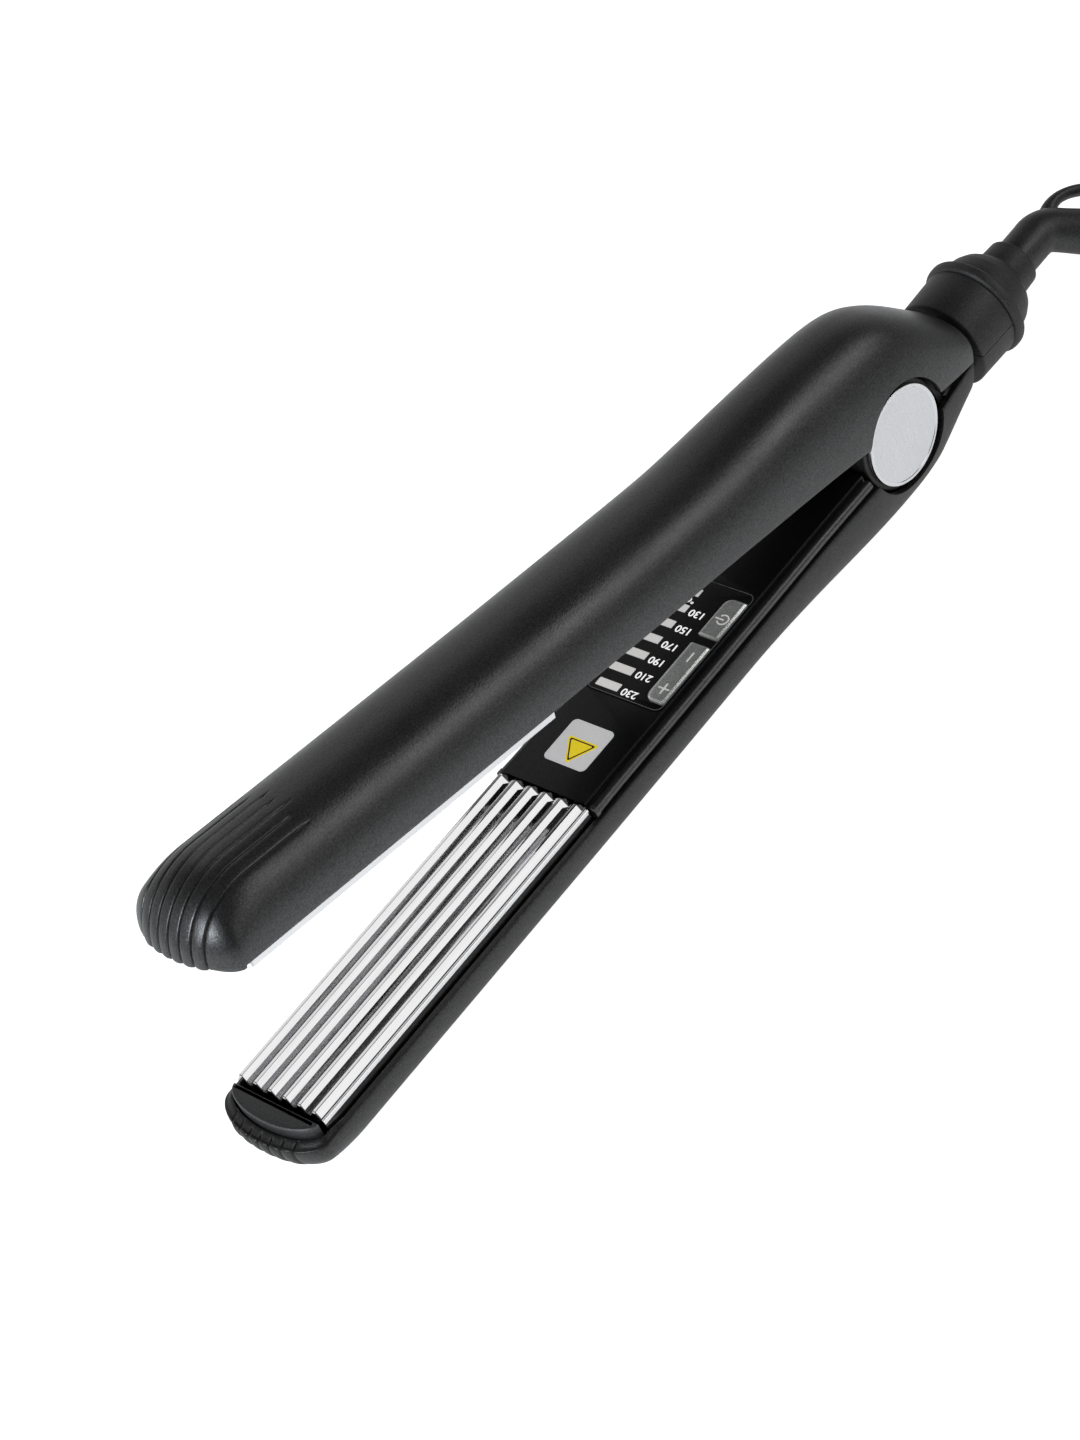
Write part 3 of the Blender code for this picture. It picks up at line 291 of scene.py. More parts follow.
# Painted light: the pale parts and the key marks are given a glow of their own
def add_glow():
    for key, strength in GLOW.items():
        tree = MATS[key].node_tree
        shader = tree.nodes["Principled BSDF"]
        base = shader.inputs["Base Color"].links[0].from_socket
        tree.links.new(base, shader.inputs["Emission Color"])
        shader.inputs["Emission Strength"].default_value = strength
    mark = MATS["key_mark"].node_tree.nodes["Principled BSDF"]
    mark.inputs["Emission Color"].default_value = PAINTED_MARK_GLOW_COLOUR
    mark.inputs["Emission Strength"].default_value = PAINTED_MARK_GLOW


add_glow()


# ------------------------------------------------------------------ mesh helpers (mm)
def shade(mesh, smooth):
    for poly in mesh.polygons:
        poly.use_smooth = True
    mesh.set_sharp_from_angle(angle=math.radians(smooth))


def make(name, shape, place, mat, body=None, node=None, smooth=32.0, lifts=None):
    """A piece from (verts, faces) in mm, riding on a body and standing in for a CAD node.

    lifts moves each vertex along its normal. Without a body the piece is a Boolean tool.
    """
    verts, faces = shape
    mesh = bpy.data.meshes.new(name)
    bm = bmesh.new()
    layer = bm.verts.layers.float.new("lift") if lifts is not None else None
    made = [bm.verts.new(vert) for vert in verts]
    for face in faces:
        bm.faces.new([made[i] for i in face])
    if lifts is not None:
        for vert, lift in zip(made, lifts):
            vert[layer] = lift
    bmesh.ops.remove_doubles(bm, verts=bm.verts, dist=2e-4)
    bmesh.ops.dissolve_degenerate(bm, edges=bm.edges, dist=1e-5)
    bmesh.ops.recalc_face_normals(bm, faces=bm.faces)
    if lifts is not None:
        layer = bm.verts.layers.float["lift"]
        bm.normal_update()
        moves = [(v, v.normal * v[layer]) for v in bm.verts if abs(v[layer]) > 1e-5]
        for vert, move in moves:
            vert.co += move
        bm.verts.layers.float.remove(layer)
    for vert in bm.verts:
        vert.co = place @ (vert.co * MM)
    bm.to_mesh(mesh)
    bm.free()
    obj = bpy.data.objects.new(name, mesh)
    bpy.context.scene.collection.objects.link(obj)
    mesh.materials.append(MATS[mat])
    shade(mesh, smooth)
    if body:
        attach(obj, body)
        if node:
            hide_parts(node)
    return obj


def cut(obj, tools, operation="DIFFERENCE", smooth=32.0):
    """Applies exact Booleans, bakes the result and removes the tools."""
    for tool in tools:
        mod = obj.modifiers.new(tool.name, "BOOLEAN")
        mod.operation = operation
        mod.object = tool
        mod.solver = "EXACT"
    bpy.context.view_layer.update()
    graph = bpy.context.evaluated_depsgraph_get()
    baked = bpy.data.meshes.new_from_object(obj.evaluated_get(graph))
    old = obj.data
    obj.modifiers.clear()
    obj.data = baked
    bpy.data.meshes.remove(old)
    for tool in tools:
        data = tool.data
        bpy.data.objects.remove(tool)
        bpy.data.meshes.remove(data)
    shade(baked, smooth)
    return obj


def second_material(obj, mat, chosen):
    """Gives a second material to the faces whose centre (m) is chosen."""
    obj.data.materials.append(MATS[mat])
    for poly in obj.data.polygons:
        if chosen(poly.center):
            poly.material_index = 1


def loft(rows, caps=True):
    """Quads between closed rings of equal length; returns (verts, faces)."""
    count = len(rows[0])
    verts = [point for row in rows for point in row]
    end = (len(rows) - 1) * count
    faces = []
    for start in range(0, end, count):
        for k in range(count):
            n = (k + 1) % count
            faces.append((start + k, start + n, start + count + n, start + count + k))
    if caps:
        faces.append(tuple(range(count)))
        faces.append(tuple(range(end, end + count))[::-1])
    return verts, faces


def units(vectors):
    return vectors / np.maximum(np.linalg.norm(vectors, axis=1, keepdims=True), 1e-9)


def offset(outline, inset):
    """Moves each corner of a closed outline inward along its mitre."""
    pts = np.array(outline, float)
    before, after = np.roll(pts, 1, 0), np.roll(pts, -1, 0)
    area = 0.5 * np.sum(pts[:, 0] * after[:, 1] - after[:, 0] * pts[:, 1])
    turn = 1.0 if area > 0 else -1.0
    arriving, leaving = units(pts - before), units(after - pts)
    normal_in = np.stack([-arriving[:, 1], arriving[:, 0]], 1) * turn
    normal_out = np.stack([-leaving[:, 1], leaving[:, 0]], 1) * turn
    mitre = units(normal_in + normal_out)
    scale = 1.0 / np.maximum((mitre * normal_in).sum(1, keepdims=True), 0.5)
    return pts + mitre * scale * inset


def prism(outline, axis, levels):
    """Outline swept along an axis. levels: (coordinate, inset) pairs."""
    rows = []
    for level, inset in levels:
        row = []
        for point in offset(outline, inset) if inset else outline:
            point = list(point)
            point.insert(axis, level)
            row.append(tuple(point))
        rows.append(row)
    return loft(rows)


def circle(radius, count):
    angles = [2 * math.pi * k / count for k in range(count)]
    return [(radius * math.cos(angle), radius * math.sin(angle)) for angle in angles]


def grown(box, margin):
    x0, x1, y0, y1 = box
    return x0 - margin, x1 + margin, y0 - margin, y1 + margin


def rounded(box, radii, steps=8):
    """Rectangle with rounded corners. radii: one number or one per corner, from (x0, y0)."""
    x0, x1, y0, y1 = box
    if isinstance(radii, (int, float)):
        radii = [radii] * 4
    corners = [(x0, y0, 180), (x1, y0, 270), (x1, y1, 0), (x0, y1, 90)]
    out = []
    for (x, y, first), radius in zip(corners, radii):
        centre_x = x + radius * (1 if x == x0 else -1)
        centre_y = y + radius * (1 if y == y0 else -1)
        for k in range(steps + 1):
            angle = math.radians(first + 90 * k / steps)
            out.append((centre_x + radius * math.cos(angle), centre_y + radius * math.sin(angle)))
    return out


def fillet(points, radii, steps=5, closed=True):
    """Rounds the corners of an outline. radii: one number or one per corner."""
    pts = [np.array(point, float) for point in points]
    count = len(pts)
    if isinstance(radii, (int, float)):
        radii = [radii] * count
    out = []
    for i, corner in enumerate(pts):
        if radii[i] <= 0 or not closed and i in (0, count - 1):
            out.append(tuple(corner))
            continue
        back, ahead = pts[i - 1] - corner, pts[(i + 1) % count] - corner
        back_length, ahead_length = np.linalg.norm(back), np.linalg.norm(ahead)
        back, ahead = back / back_length, ahead / ahead_length
        half = math.acos(float(np.clip(back @ ahead, -1, 1))) / 2
        length = min(radii[i] / math.tan(half), 0.48 * back_length, 0.48 * ahead_length)
        radius = length * math.tan(half)
        middle = (back + ahead) / np.linalg.norm(back + ahead)
        centre = corner + middle * (radius / math.sin(half))
        start, end = corner + back * length - centre, corner + ahead * length - centre
        first = math.atan2(start[1], start[0])
        sweep = math.atan2(start[0] * end[1] - start[1] * end[0], start @ end)
        for k in range(steps + 1):
            angle = first + sweep * k / steps
            out.append((centre[0] + radius * math.cos(angle),
                        centre[1] + radius * math.sin(angle)))
    return out


def turned(profile, axis, centre, count, degrees=360.0, start=0.0):
    """Revolves a closed profile of (along, radius)."""
    whole = degrees >= 360.0
    row_count = count if whole else count + 1
    verts = []
    for k in range(row_count):
        angle = math.radians(start + degrees * k / count)
        for along, radius in profile:
            point = [0.0, 0.0, 0.0]
            point[axis] = along
            point[(axis + 1) % 3] = centre[0] + radius * math.cos(angle)
            point[(axis + 2) % 3] = centre[1] + radius * math.sin(angle)
            verts.append(tuple(point))
    size = len(profile)
    faces = []
    for k in range(count):
        here, there = k * size, (k + 1) % row_count * size
        for i in range(size):
            n = (i + 1) % size
            if profile[i][1] < 1e-9 and profile[n][1] < 1e-9:
                continue  # this side lies on the axis
            faces.append((here + i, here + n, there + n, there + i))
    if not whole:
        faces.append(tuple(range(size)))
        faces.append(tuple(range(count * size, row_count * size))[::-1])
    return verts, faces


def tube(path, radii, count):
    """Sweeps a circle or an ellipse along a path in space; its first radius starts along Y."""
    points = [Vector(point) for point in path]
    side = Vector((0, 1, 0))
    rows = []
    for k, point in enumerate(points):
        ahead = (points[min(k + 1, len(points) - 1)] - points[max(k - 1, 0)]).normalized()
        side = (side - ahead * side.dot(ahead)).normalized()
        up = ahead.cross(side)
        radius = radii[k] if isinstance(radii, list) else radii
        across, upward = radius if isinstance(radius, tuple) else (radius, radius)
        angles = [2 * math.pi * j / count for j in range(count)]
        rows.append([tuple(point + side * across * math.cos(angle)
                           + up * upward * math.sin(angle)) for angle in angles])
    return loft(rows)


def refine(points, count):
    """Catmull-Rom points through a path."""
    pts = [np.array(point, float) for point in points]
    pts = [2 * pts[0] - pts[1]] + pts + [2 * pts[-1] - pts[-2]]
    out = []
    for i in range(1, len(pts) - 2):
        p0, p1, p2, p3 = pts[i - 1:i + 3]
        for k in range(count):
            t = k / count
            out.append(tuple(0.5 * (2 * p1 + (p2 - p0) * t
                                    + (2 * p0 - 5 * p1 + 4 * p2 - p3) * t * t
                                    + (3 * p1 - p0 - 3 * p2 + p3) * t ** 3)))
    out.append(tuple(pts[-2]))
    return out


def clamp(t):
    return max(0.0, min(1.0, t))


def smoothstep(t):
    t = clamp(t)
    return t * t * (3 - 2 * t)


def arc_rule(t):
    """Quarter of a circle: rises from 0 to 1 as t does."""
    return math.sqrt(max(0.0, 1 - (1 - clamp(t)) ** 2))


# ------------------------------------------------------------------ housings
LOWER_DEPTH, UPPER_DEPTH = 17.0, 20.2
LOWER_LEAN, UPPER_LEAN = 0.40, -0.10  # slant of the rear mouth, as x per height
# Where the longest groove of each housing ends
LOWER_GROOVE_END, UPPER_GROOVE_END = -206.5, -183.0
# x, half width, depth
LOWER_BODY = [(-160, 15.3, 17.2), (-119, 15.3, 17.35), (-82, 15.2, 17.3), (-62, 14.9, 17.5),
              (-52, 14.7, 18.2), (-44, 14.5, 19.2), (-35, 14.4, 20.3), (-27, 14.5, 21.3),
              (-18, 14.8, 22.1), (-12, 15.0, 22.5), (-5, 15.1, 22.8), (5, 15.0, 22.8),
              (10, 14.5, 22.2), (14.5, 14.1, 21.0), (18.5, 13.7, 19.3), (22, 13.4, 17.6),
              (25, 13.1, 16.0), (27.2, 12.9, 14.8)]
UPPER_BODY = [(-160, 15.3, 20.3), (-119, 15.3, 20.55), (-89, 15.3, 21.0), (-69, 15.15, 21.5),
              (-58, 15.0, 22.0), (-48, 15.0, 23.2), (-38, 14.9, 24.6), (-29, 14.9, 25.7),
              (-18, 15.1, 26.8), (-8, 15.3, 27.5), (-1, 15.35, 27.6), (5, 15.35, 26.7),
              (10, 15.2, 24.6), (15, 14.8, 21.5), (19.5, 14.4, 18.1), (23.5, 13.9, 15.1),
              (27.2, 13.3, 12.5)]
GROOVE_PITCH, GROOVE_DEPTH = 3.05, 0.42
OUTER_GROOVE = 3  # grooves on each side of the middle one
GROOVE_BAND = OUTER_GROOVE * GROOVE_PITCH
# distance from the groove's middle, share of its depth
GROOVE_STEPS = ((0.0, 1.0), (0.12, 0.86), (0.21, 0.50), (0.29, 0.12), (0.40, 0.0))
CROWN_LINES = (0.75, 1.12, 1.525, 1.93, 2.30)  # mesh lines from one groove to the next
FLANK_Y, FLANK_LINES = 10.2, 24  # mesh lines down each plain flank, from this y outward
# distance in from the outer wall, height above the rim
RIM_EDGE = ((0.05, 0.62), (0.10, 0.34), (0.20, 0.13), (0.34, 0.03), (0.50, 0.0))
RIM_SHARES = (0.15, 0.32, 0.5, 0.68, 0.85)
# distance out from the inner wall, height above the rim
RIM_INNER = ((0.25, 0.0), (0.08, 0.07), (0.0, 0.25))
NOSE_ROWS = 22
NOSE_JOIN = TIP_X + NOSE_PLAN  # where the straight sides start
GRID_STEP = 0.4  # spacing of the smoothed stations


def rear_share(x):
    return (x - 10) / (REAR_X - 10)


def rim_height(x):
    return RIM_Z if x < 10 else RIM_Z - 0.9 * rear_share(x)


def groove_shape(y):
    """(share of the groove depth, share of the crown between grooves) at y."""
    if abs(y) > GROOVE_BAND + 0.45:
        return 0.0, 0.0
    distance = abs(y - round(y / GROOVE_PITCH) * GROOVE_PITCH)
    dig = float(np.interp(distance, *zip(*GROOVE_STEPS)))
    across = min(1.0, distance / (GROOVE_PITCH / 2))
    crown = math.sin(across * math.pi / 2) ** 0.8 if abs(y) < GROOVE_BAND else 0.0
    return dig, crown


def cross_lines():
    """y of the mesh lines that run along a housing, from +Y to -Y, aligned with the grooves."""
    lines = set()
    for k in range(-OUTER_GROOVE, OUTER_GROOVE + 1):
        for distance, _ in GROOVE_STEPS:
            lines |= {round(k * GROOVE_PITCH + distance, 4), round(k * GROOVE_PITCH - distance, 4)}
    for k in range(-OUTER_GROOVE, OUTER_GROOVE):
        for distance in CROWN_LINES:
            lines.add(round(k * GROOVE_PITCH + distance, 4))
    top = math.acos((FLANK_Y / HALF_WIDTH) ** (ROUNDNESS / 2))
    for k in range(FLANK_LINES):
        y = HALF_WIDTH * math.cos(top * k / (FLANK_LINES - 1)) ** (2 / ROUNDNESS)
        lines |= {round(y, 6), round(-y, 6)}
    return sorted(lines, reverse=True)


LINES = cross_lines()
LAST_LINE = len(LINES) - 1


def inner_y(y):
    """y of a mesh line on the inner surface: only the flanks draw in."""
    bound = GROOVE_BAND + 0.4
    if abs(y) <= bound:
        return y
    share = (INNER_HALF - bound) / (HALF_WIDTH - bound)
    return math.copysign(bound + (abs(y) - bound) * share, y)


def section_height(y, half_width, depth):
    """Height of the superellipse section above the core."""
    t = min(1.0, abs(y) / max(half_width, 1e-6))
    return depth * max(0.0, 1 - t ** ROUNDNESS) ** (1 / ROUNDNESS)


def nose_x(y, tip, plan, half_width, share):
    """x at a share of the way from the nose outline to the straight sides."""
    front = tip + plan * (1 - math.sqrt(max(0.0, 1 - (y / half_width) ** 2)))
    return front + (tip + plan - front) * share


def rim_lift(x, y):
    """The grooves run a little way over the rim."""
    dig, _ = groove_shape(y)
    k = round(y / GROOVE_PITCH)
    start = -215.9 + 0.27 * k * k
    return -0.42 * dig * (1 - smoothstep((x - start + 0.5) / 0.5))


class Housing:
    """Verts, lifts and faces of one housing; sign is +1 for the upper arm, -1 for the lower."""

    def __init__(self, sign, depth, body, lean, groove_end):
        self.sign, self.depth, self.lean, self.groove_end = sign, depth, lean, groove_end
        stations = [(TIP_X + NOSE_SIDE, HALF_WIDTH, depth)] + body
        xs, half_widths, depths = zip(*stations)
        self.grid = np.arange(TIP_X + NOSE_SIDE, REAR_X + 0.01, GRID_STEP)
        self.half_widths = self.soften(xs, half_widths)
        self.depths = self.soften(xs, depths)
        self.verts, self.lifts, self.faces = [], [], []
        self.build()

    def soften(self, xs, values):
        """Interpolates the stations and smooths them twice with a Gaussian."""
        fine = np.interp(self.grid, xs, values)
        pad, reach, sigma = 20, 15, 2.6
        slope = fine[-1] - fine[-2]
        ends = np.concatenate([np.full(pad, fine[0]), fine,
                               fine[-1] + slope * np.arange(1, pad + 1)])
        kernel = np.exp(-0.5 * (np.arange(-reach, reach + 1) * GRID_STEP / sigma) ** 2)
        kernel /= kernel.sum()
        for _ in range(2):
            ends[reach:-reach] = np.convolve(ends, kernel, "valid")
        return ends[pad:-pad]

    def half_width(self, x):
        if x < NOSE_JOIN:
            return HALF_WIDTH * arc_rule((x - TIP_X) / NOSE_PLAN)
        return float(np.interp(x, self.grid, self.half_widths))

    def core_depth(self, x):
        if x < TIP_X + NOSE_SIDE:
            return (self.depth - CORE_Z) * arc_rule((x - TIP_X) / NOSE_SIDE)
        return float(np.interp(x, self.grid, self.depths)) - CORE_Z

    def inner_nose_depth(self, x):
        return (self.depth - CORE_Z - WALL) * arc_rule((x - INNER_TIP + 1.0) / NOSE_SIDE)

    def lift_at(self, x, y, z):
        """Grooves go in, ribs between them stand a little proud round the nose."""
        dig, crown = groove_shape(y)
        k = round(y / GROOVE_PITCH)
        end = self.groove_end + (2.0 if k % 2 else 0.0) - 0.6 * abs(k)
        fade = 1 - smoothstep((x - (end - 5)) / 5)
        low = smoothstep((CORE_Z + 8 - z) / 7)
        proud = 0.30 * low * (1 - smoothstep((x + 212) / 7)) + 0.05 * fade
        return -GROOVE_DEPTH * dig * fade + proud * crown

    def put(self, x, y, z, lift=0.0):
        x -= self.lean * clamp(rear_share(x)) * (z - RIM_Z)
        self.verts.append((x, y, self.sign * z))
        self.lifts.append(lift)
        return len(self.verts) - 1

    def nose_row(self, row):
        share = (row / NOSE_ROWS) ** 2
        outer, inner = [], []
        for column, y in enumerate(LINES):
            on_edge = row == 0 or column in (0, LAST_LINE)
            x = nose_x(y, TIP_X, NOSE_PLAN, HALF_WIDTH, share)
            z = CORE_Z
            if not on_edge:
                z += section_height(y, self.half_width(x), self.core_depth(x))
            outer.append(self.put(x, y, z, self.lift_at(x, y, z)))
            y = inner_y(y)
            x = nose_x(y, INNER_TIP, INNER_PLAN, INNER_HALF, share)
            z = CORE_Z
            if not on_edge:
                half_width = INNER_HALF * arc_rule((x - INNER_TIP) / INNER_PLAN)
                z += section_height(y, half_width, self.inner_nose_depth(x))
            inner.append(self.put(x, y, z))
        return outer, inner

    def body_row(self, x):
        half_width, depth = self.half_width(x), self.core_depth(x)
        shift = (INNER_TIP + INNER_PLAN - NOSE_JOIN) * max(0.0, 1 - (x - NOSE_JOIN) / 20)
        inner_x = x + shift
        inner_depth = depth - WALL
        if x < -195:
            inner_depth = min(inner_depth, self.inner_nose_depth(inner_x))
        outer, inner = [], []
        for line in LINES:
            y = line * half_width / HALF_WIDTH
            z = CORE_Z + section_height(line, HALF_WIDTH, depth)
            outer.append(self.put(x, y, z, self.lift_at(x, y, z)))
            y = inner_y(line)
            z = CORE_Z + section_height(y, INNER_HALF, inner_depth)
            inner.append(self.put(inner_x, y * (half_width - WALL) / INNER_HALF, z))
        return outer, inner

    def rim_band(self, outer, inner, plain_x):
        """Verts across the rim between two wall verts. plain_x: unleaned x, None at the nose."""
        outer_x, outer_y, _ = self.verts[outer]
        inner_x, inner_y_at, _ = self.verts[inner]
        if plain_x is not None:
            inner_x = plain_x + (inner_x - outer_x if plain_x < 0 else 0.0)
            outer_x = plain_x
        across = np.array([inner_x - outer_x, inner_y_at - outer_y])
        width = float(np.linalg.norm(across))
        unit = across / width
        rim = rim_height(outer_x)
        rise = (RIM_Z - NOSE_RIM) * clamp((-205.5 - outer_x) / 5.0)
        steps = [(distance, rim + height) for distance, height in RIM_EDGE]
        steps += [(0.5 + (width - 0.75) * share, rim - rise * smoothstep(share))
                  for share in RIM_SHARES]
        steps += [(width - distance, rim - rise + height) for distance, height in RIM_INNER]
        edge_end = len(RIM_EDGE)
        groove_stop = edge_end + len(RIM_SHARES) + 1
        band = [outer]
        for n, (distance, z) in enumerate(steps):
            x, y = outer_x + unit[0] * distance, outer_y + unit[1] * distance
            lift = 0.0
            if plain_x is None and n < edge_end:
                lift = self.lift_at(x, y, z + 0.6)
            elif plain_x is None and n < groove_stop:
                lift = rim_lift(x, y)
            band.append(self.put(x, y, z, lift))
        return band + [inner]

    def build(self):
        xs = [*np.arange(NOSE_JOIN, -205.0, 0.62), *np.arange(-205.0, -180.0, 1.0),
              *np.arange(-180.0, -60.0, 3.0), *np.arange(-60.0, REAR_X - 0.5, 1.5), REAR_X]
        rows = [self.nose_row(row) for row in range(NOSE_ROWS)] + [self.body_row(x) for x in xs]
        outer, inner = zip(*rows)
        for grid, order in ((outer, 1), (inner, -1)):
            for here, there in zip(grid, grid[1:]):
                for j in range(LAST_LINE):
                    quad = (here[j], here[j + 1], there[j + 1], there[j])
                    self.faces.append(quad[::order])

        def ring(grid):
            """The open edge: up the +Y side, round the nose and back down the -Y side."""
            body = grid[NOSE_ROWS:]
            return [row[0] for row in body[::-1]] + grid[0] + [row[-1] for row in body]

        plain_xs = xs[::-1] + [None] * len(LINES) + xs
        bands = [self.rim_band(*ends) for ends in zip(ring(outer), ring(inner), plain_xs)]
        for here, there in zip(bands, bands[1:]):
            for k in range(len(here) - 1):
                self.faces.append((here[k], there[k], there[k + 1], here[k + 1]))
        # rear mouth
        for j in range(LAST_LINE):
            self.faces.append((outer[-1][j], outer[-1][j + 1], inner[-1][j + 1], inner[-1][j]))
        self.faces.append(tuple(bands[0]))
        self.faces.append(tuple(bands[-1][::-1]))


def shell(side, housing, place, mat):
    obj = make(side + "_shell", (housing.verts, housing.faces), place, mat, side + "_arm",
               side + "_housing", smooth=40.0, lifts=housing.lifts)
    pocket = make(side + "_shell_pocket", prism(circle(POCKET_R, 144), 1, [(-20, 0), (20, 0)]),
                  place, mat)
    cut(obj, [pocket], smooth=40.0)


shell("upper", Housing(1, UPPER_DEPTH, UPPER_BODY, UPPER_LEAN, UPPER_GROOVE_END),
      UPPER, "soft_black")
# the lower housing takes the lighter copy of the soft black, painted light
shell("lower", Housing(-1, LOWER_DEPTH, LOWER_BODY, LOWER_LEAN, LOWER_GROOVE_END),
      LOWER, "soft_black_painted_lit")

# ------------------------------------------------------------------ tip pads
PAD_TIP = INNER_TIP + 0.3
PAD_HALF, PAD_PLAN, PAD_BACK = 12.6, 4.8, -210.0
# distance from the pad's tip of the points round its nose
PAD_STEPS = (0.0, 0.06, 0.2, 0.45, 0.8, 1.25, 1.8, 2.5, 3.3, 4.1, 4.6)
PAD_BACK_YS = (12.5, 6.0, 0.0, -6.0, -12.5)
# height beyond the pad's face, inset
PAD_EDGE = ((0.9, 0.0), (0.36, 0.02), (0.16, 0.10), (0.05, 0.24), (0.0, 0.42), (-0.08, 1.1))


def tip_pad(side, sign, face, place):
    nose = [(PAD_TIP + step, PAD_HALF * arc_rule(step / PAD_PLAN)) for step in PAD_STEPS]
    outline = nose + [(PAD_BACK, y) for y in PAD_BACK_YS] + [(x, -y) for x, y in nose[:0:-1]]
    levels = [(6.5, 0.0)] + [(face + height, inset) for height, inset in PAD_EDGE]
    make(side + "_tip_pad", prism(outline, 2, [(sign * z, inset) for z, inset in levels]),
         place, "tip_pad", side + "_arm", side + "_tip_insert", 40.0)


tip_pad("lower", -1, 0.5, LOWER)
tip_pad("upper", 1, 0.9, UPPER)

# ------------------------------------------------------------------ crimp plates
# Flange down the +Y side of each plate: y, z, corner radius
LOWER_FLANGE = [(12.35, -0.62, 0.10), (12.62, -0.74, 0.05), (12.68, -1.02, 0.04),
                (12.78, -0.98, 0.05), (PLATE_HALF, -1.45, 0.25), (PLATE_HALF, -4.6, 0.1),
                (12.1, -4.6, 0.05), (12.1, -3.0, 0.2)]
UPPER_FLANGE = [(12.30, 0.35, 0.10), (12.75, 0.50, 0.20), (PLATE_HALF, 0.80, 0.15),
                (PLATE_HALF, 2.6, 0.05), (PLATE_HALF - 0.03, 2.7, 0.04), (PLATE_HALF, 2.8, 0.05),
                (PLATE_HALF, 4.6, 0.1), (12.1, 4.6, 0.05), (12.1, 3.0, 0.2)]
# x, how far the crests are taken down there
PLATE_STATIONS = [(PLATE_FRONT, 0.30), (PLATE_FRONT + 0.12, 0.10), (PLATE_FRONT + 0.30, 0.0),
                  (-180.0, 0.0), (-150.0, 0.0), (PLATE_REAR - 1.15, 0.0),
                  (PLATE_REAR - 1.05, 0.03), (PLATE_REAR - 0.12, 0.80), (PLATE_REAR, 1.0)]


def plate(side, facing, middle_z, flange, place):
    """Ridged plate with a stepped flange down each side; facing is +1 where it faces up."""
    corners = []
    for k in range(-5, 6):
        z = middle_z + (RIDGE_HEIGHT if k % 2 else -RIDGE_HEIGHT)
        for y in (-RIDGE_FLAT, RIDGE_FLAT):
            corners.append((k * RIDGE_PITCH / 2 + y, z, RIDGE_ROUND))
    corners += flange + [(-y, z, radius) for y, z, radius in flange[::-1]]
    outline = fillet([corner[:2] for corner in corners], [corner[2] for corner in corners])
    rows = []
    for x, drop in PLATE_STATIONS:
        row = []
        for y, z in outline:
            height = facing * (z - middle_z)
            if drop and abs(height) < RIDGE_HEIGHT + 0.3 and abs(y) < 12.2:
                height = max(min(height, RIDGE_HEIGHT - drop * 1.1), -RIDGE_HEIGHT)
                z = middle_z + facing * height
            row.append((x, y, z))
        rows.append(row)
    obj = make(side + "_crimp_face", loft(rows), place, "mirror_plate", side + "_plate",
               side + "_crimp_plate", 22.0)
    second_material(obj, "plate_edge", lambda centre: abs(centre.y) > 0.01297)


plate("lower", 1, 0.0, LOWER_FLANGE, LOWER)
plate("upper", -1, PLATE_GAP, UPPER_FLANGE, UPPER)

# ------------------------------------------------------------------ inner cover of the lower arm
COVER_HALF, COVER_FRONT, COVER_REAR = 12.2, -118.4, -14.3
# x, share of the full width
COVER_STATIONS = [(COVER_FRONT, 0.975), (-112, 0.960), (-82, 0.955), (-54, 0.94), (-40, 0.93),
                  (-33, 0.925), (-24, 0.93), (COVER_REAR, 0.94)]
# x, extra radius of the side beads
COVER_FRONT_ROWS = [(COVER_FRONT, 0.10), (COVER_FRONT + 0.12, 0.20), (COVER_FRONT + 1.25, 0.20),
                    (COVER_FRONT + 1.4, 0.0)]
COVER_XS = [-114, -110, -100, -90, -82, -75, -68, -61, -54, -50, -45, -40, -36, -33, -30, -27,
            -24, -20, -17, COVER_REAR]
BEAD_Y, BEAD_DEPTH, BEAD_R = 13.72, 2.5, 1.32


def cover_row(x, swell):
    """Section at x: flat face, bead down each side; drawn with depth positive, then turned over."""
    half = fillet([(0.0, 0.0), (COVER_HALF, 0.0), (COVER_HALF + 0.10, 1.25)], [0, 0.06, 0],
                  4, closed=False)[1:]
    radius = BEAD_R + swell
    for k in range(15):
        angle = math.radians(190 - 234 * k / 14)
        half.append((BEAD_Y + radius * math.cos(angle), BEAD_DEPTH - radius * math.sin(angle)))
    half += [(14.3, 3.72), (12.9, 3.7), (12.3, 3.0), (12.0, 1.9)]
    scale = float(np.interp(x, *zip(*COVER_STATIONS)))
    return [(x, y * (1 + (scale - 1) * (0.5 + 0.5 * smoothstep(abs(y) - 12.0))), -depth)
            for y, depth in half + [(-y, depth) for y, depth in half[::-1]]]


def lower_cover():
    rows = COVER_FRONT_ROWS + [(x, 0.0) for x in COVER_XS]
    obj = make("lower_cover_face", loft([cover_row(x, swell) for x, swell in rows]), LOWER,
               "inner_black", "lower_arm", "lower_inner_cover", 35.0)
    x0, x1, y0, y1 = PANEL
    opening = rounded((x0 - 0.2, x1 + 0.2, y0 - 0.12, y1 + 0.2), 2.25, 10)
    window = make("window", prism(opening, 2, [(-6, 0), (4, 0)]), LOWER, "inner_black")
    cut(obj, [window], smooth=35.0)
    top = HINGE_Z - 0.00075
    # the side beads take the brighter copy of the black: painted light
    second_material(obj, "bead", lambda centre: abs(centre.y) > 0.0108 and centre.z < top)


lower_cover()

# ------------------------------------------------------------------ panel
BAR_FIRST, BAR_PITCH, BAR_COUNT, BAR_Y = -88.35, 5.03, 7, 5.1
BAR_SIZE = (2.1, 6.4)
SLOT_LEVELS = [(-4, 0), (4, 0)]


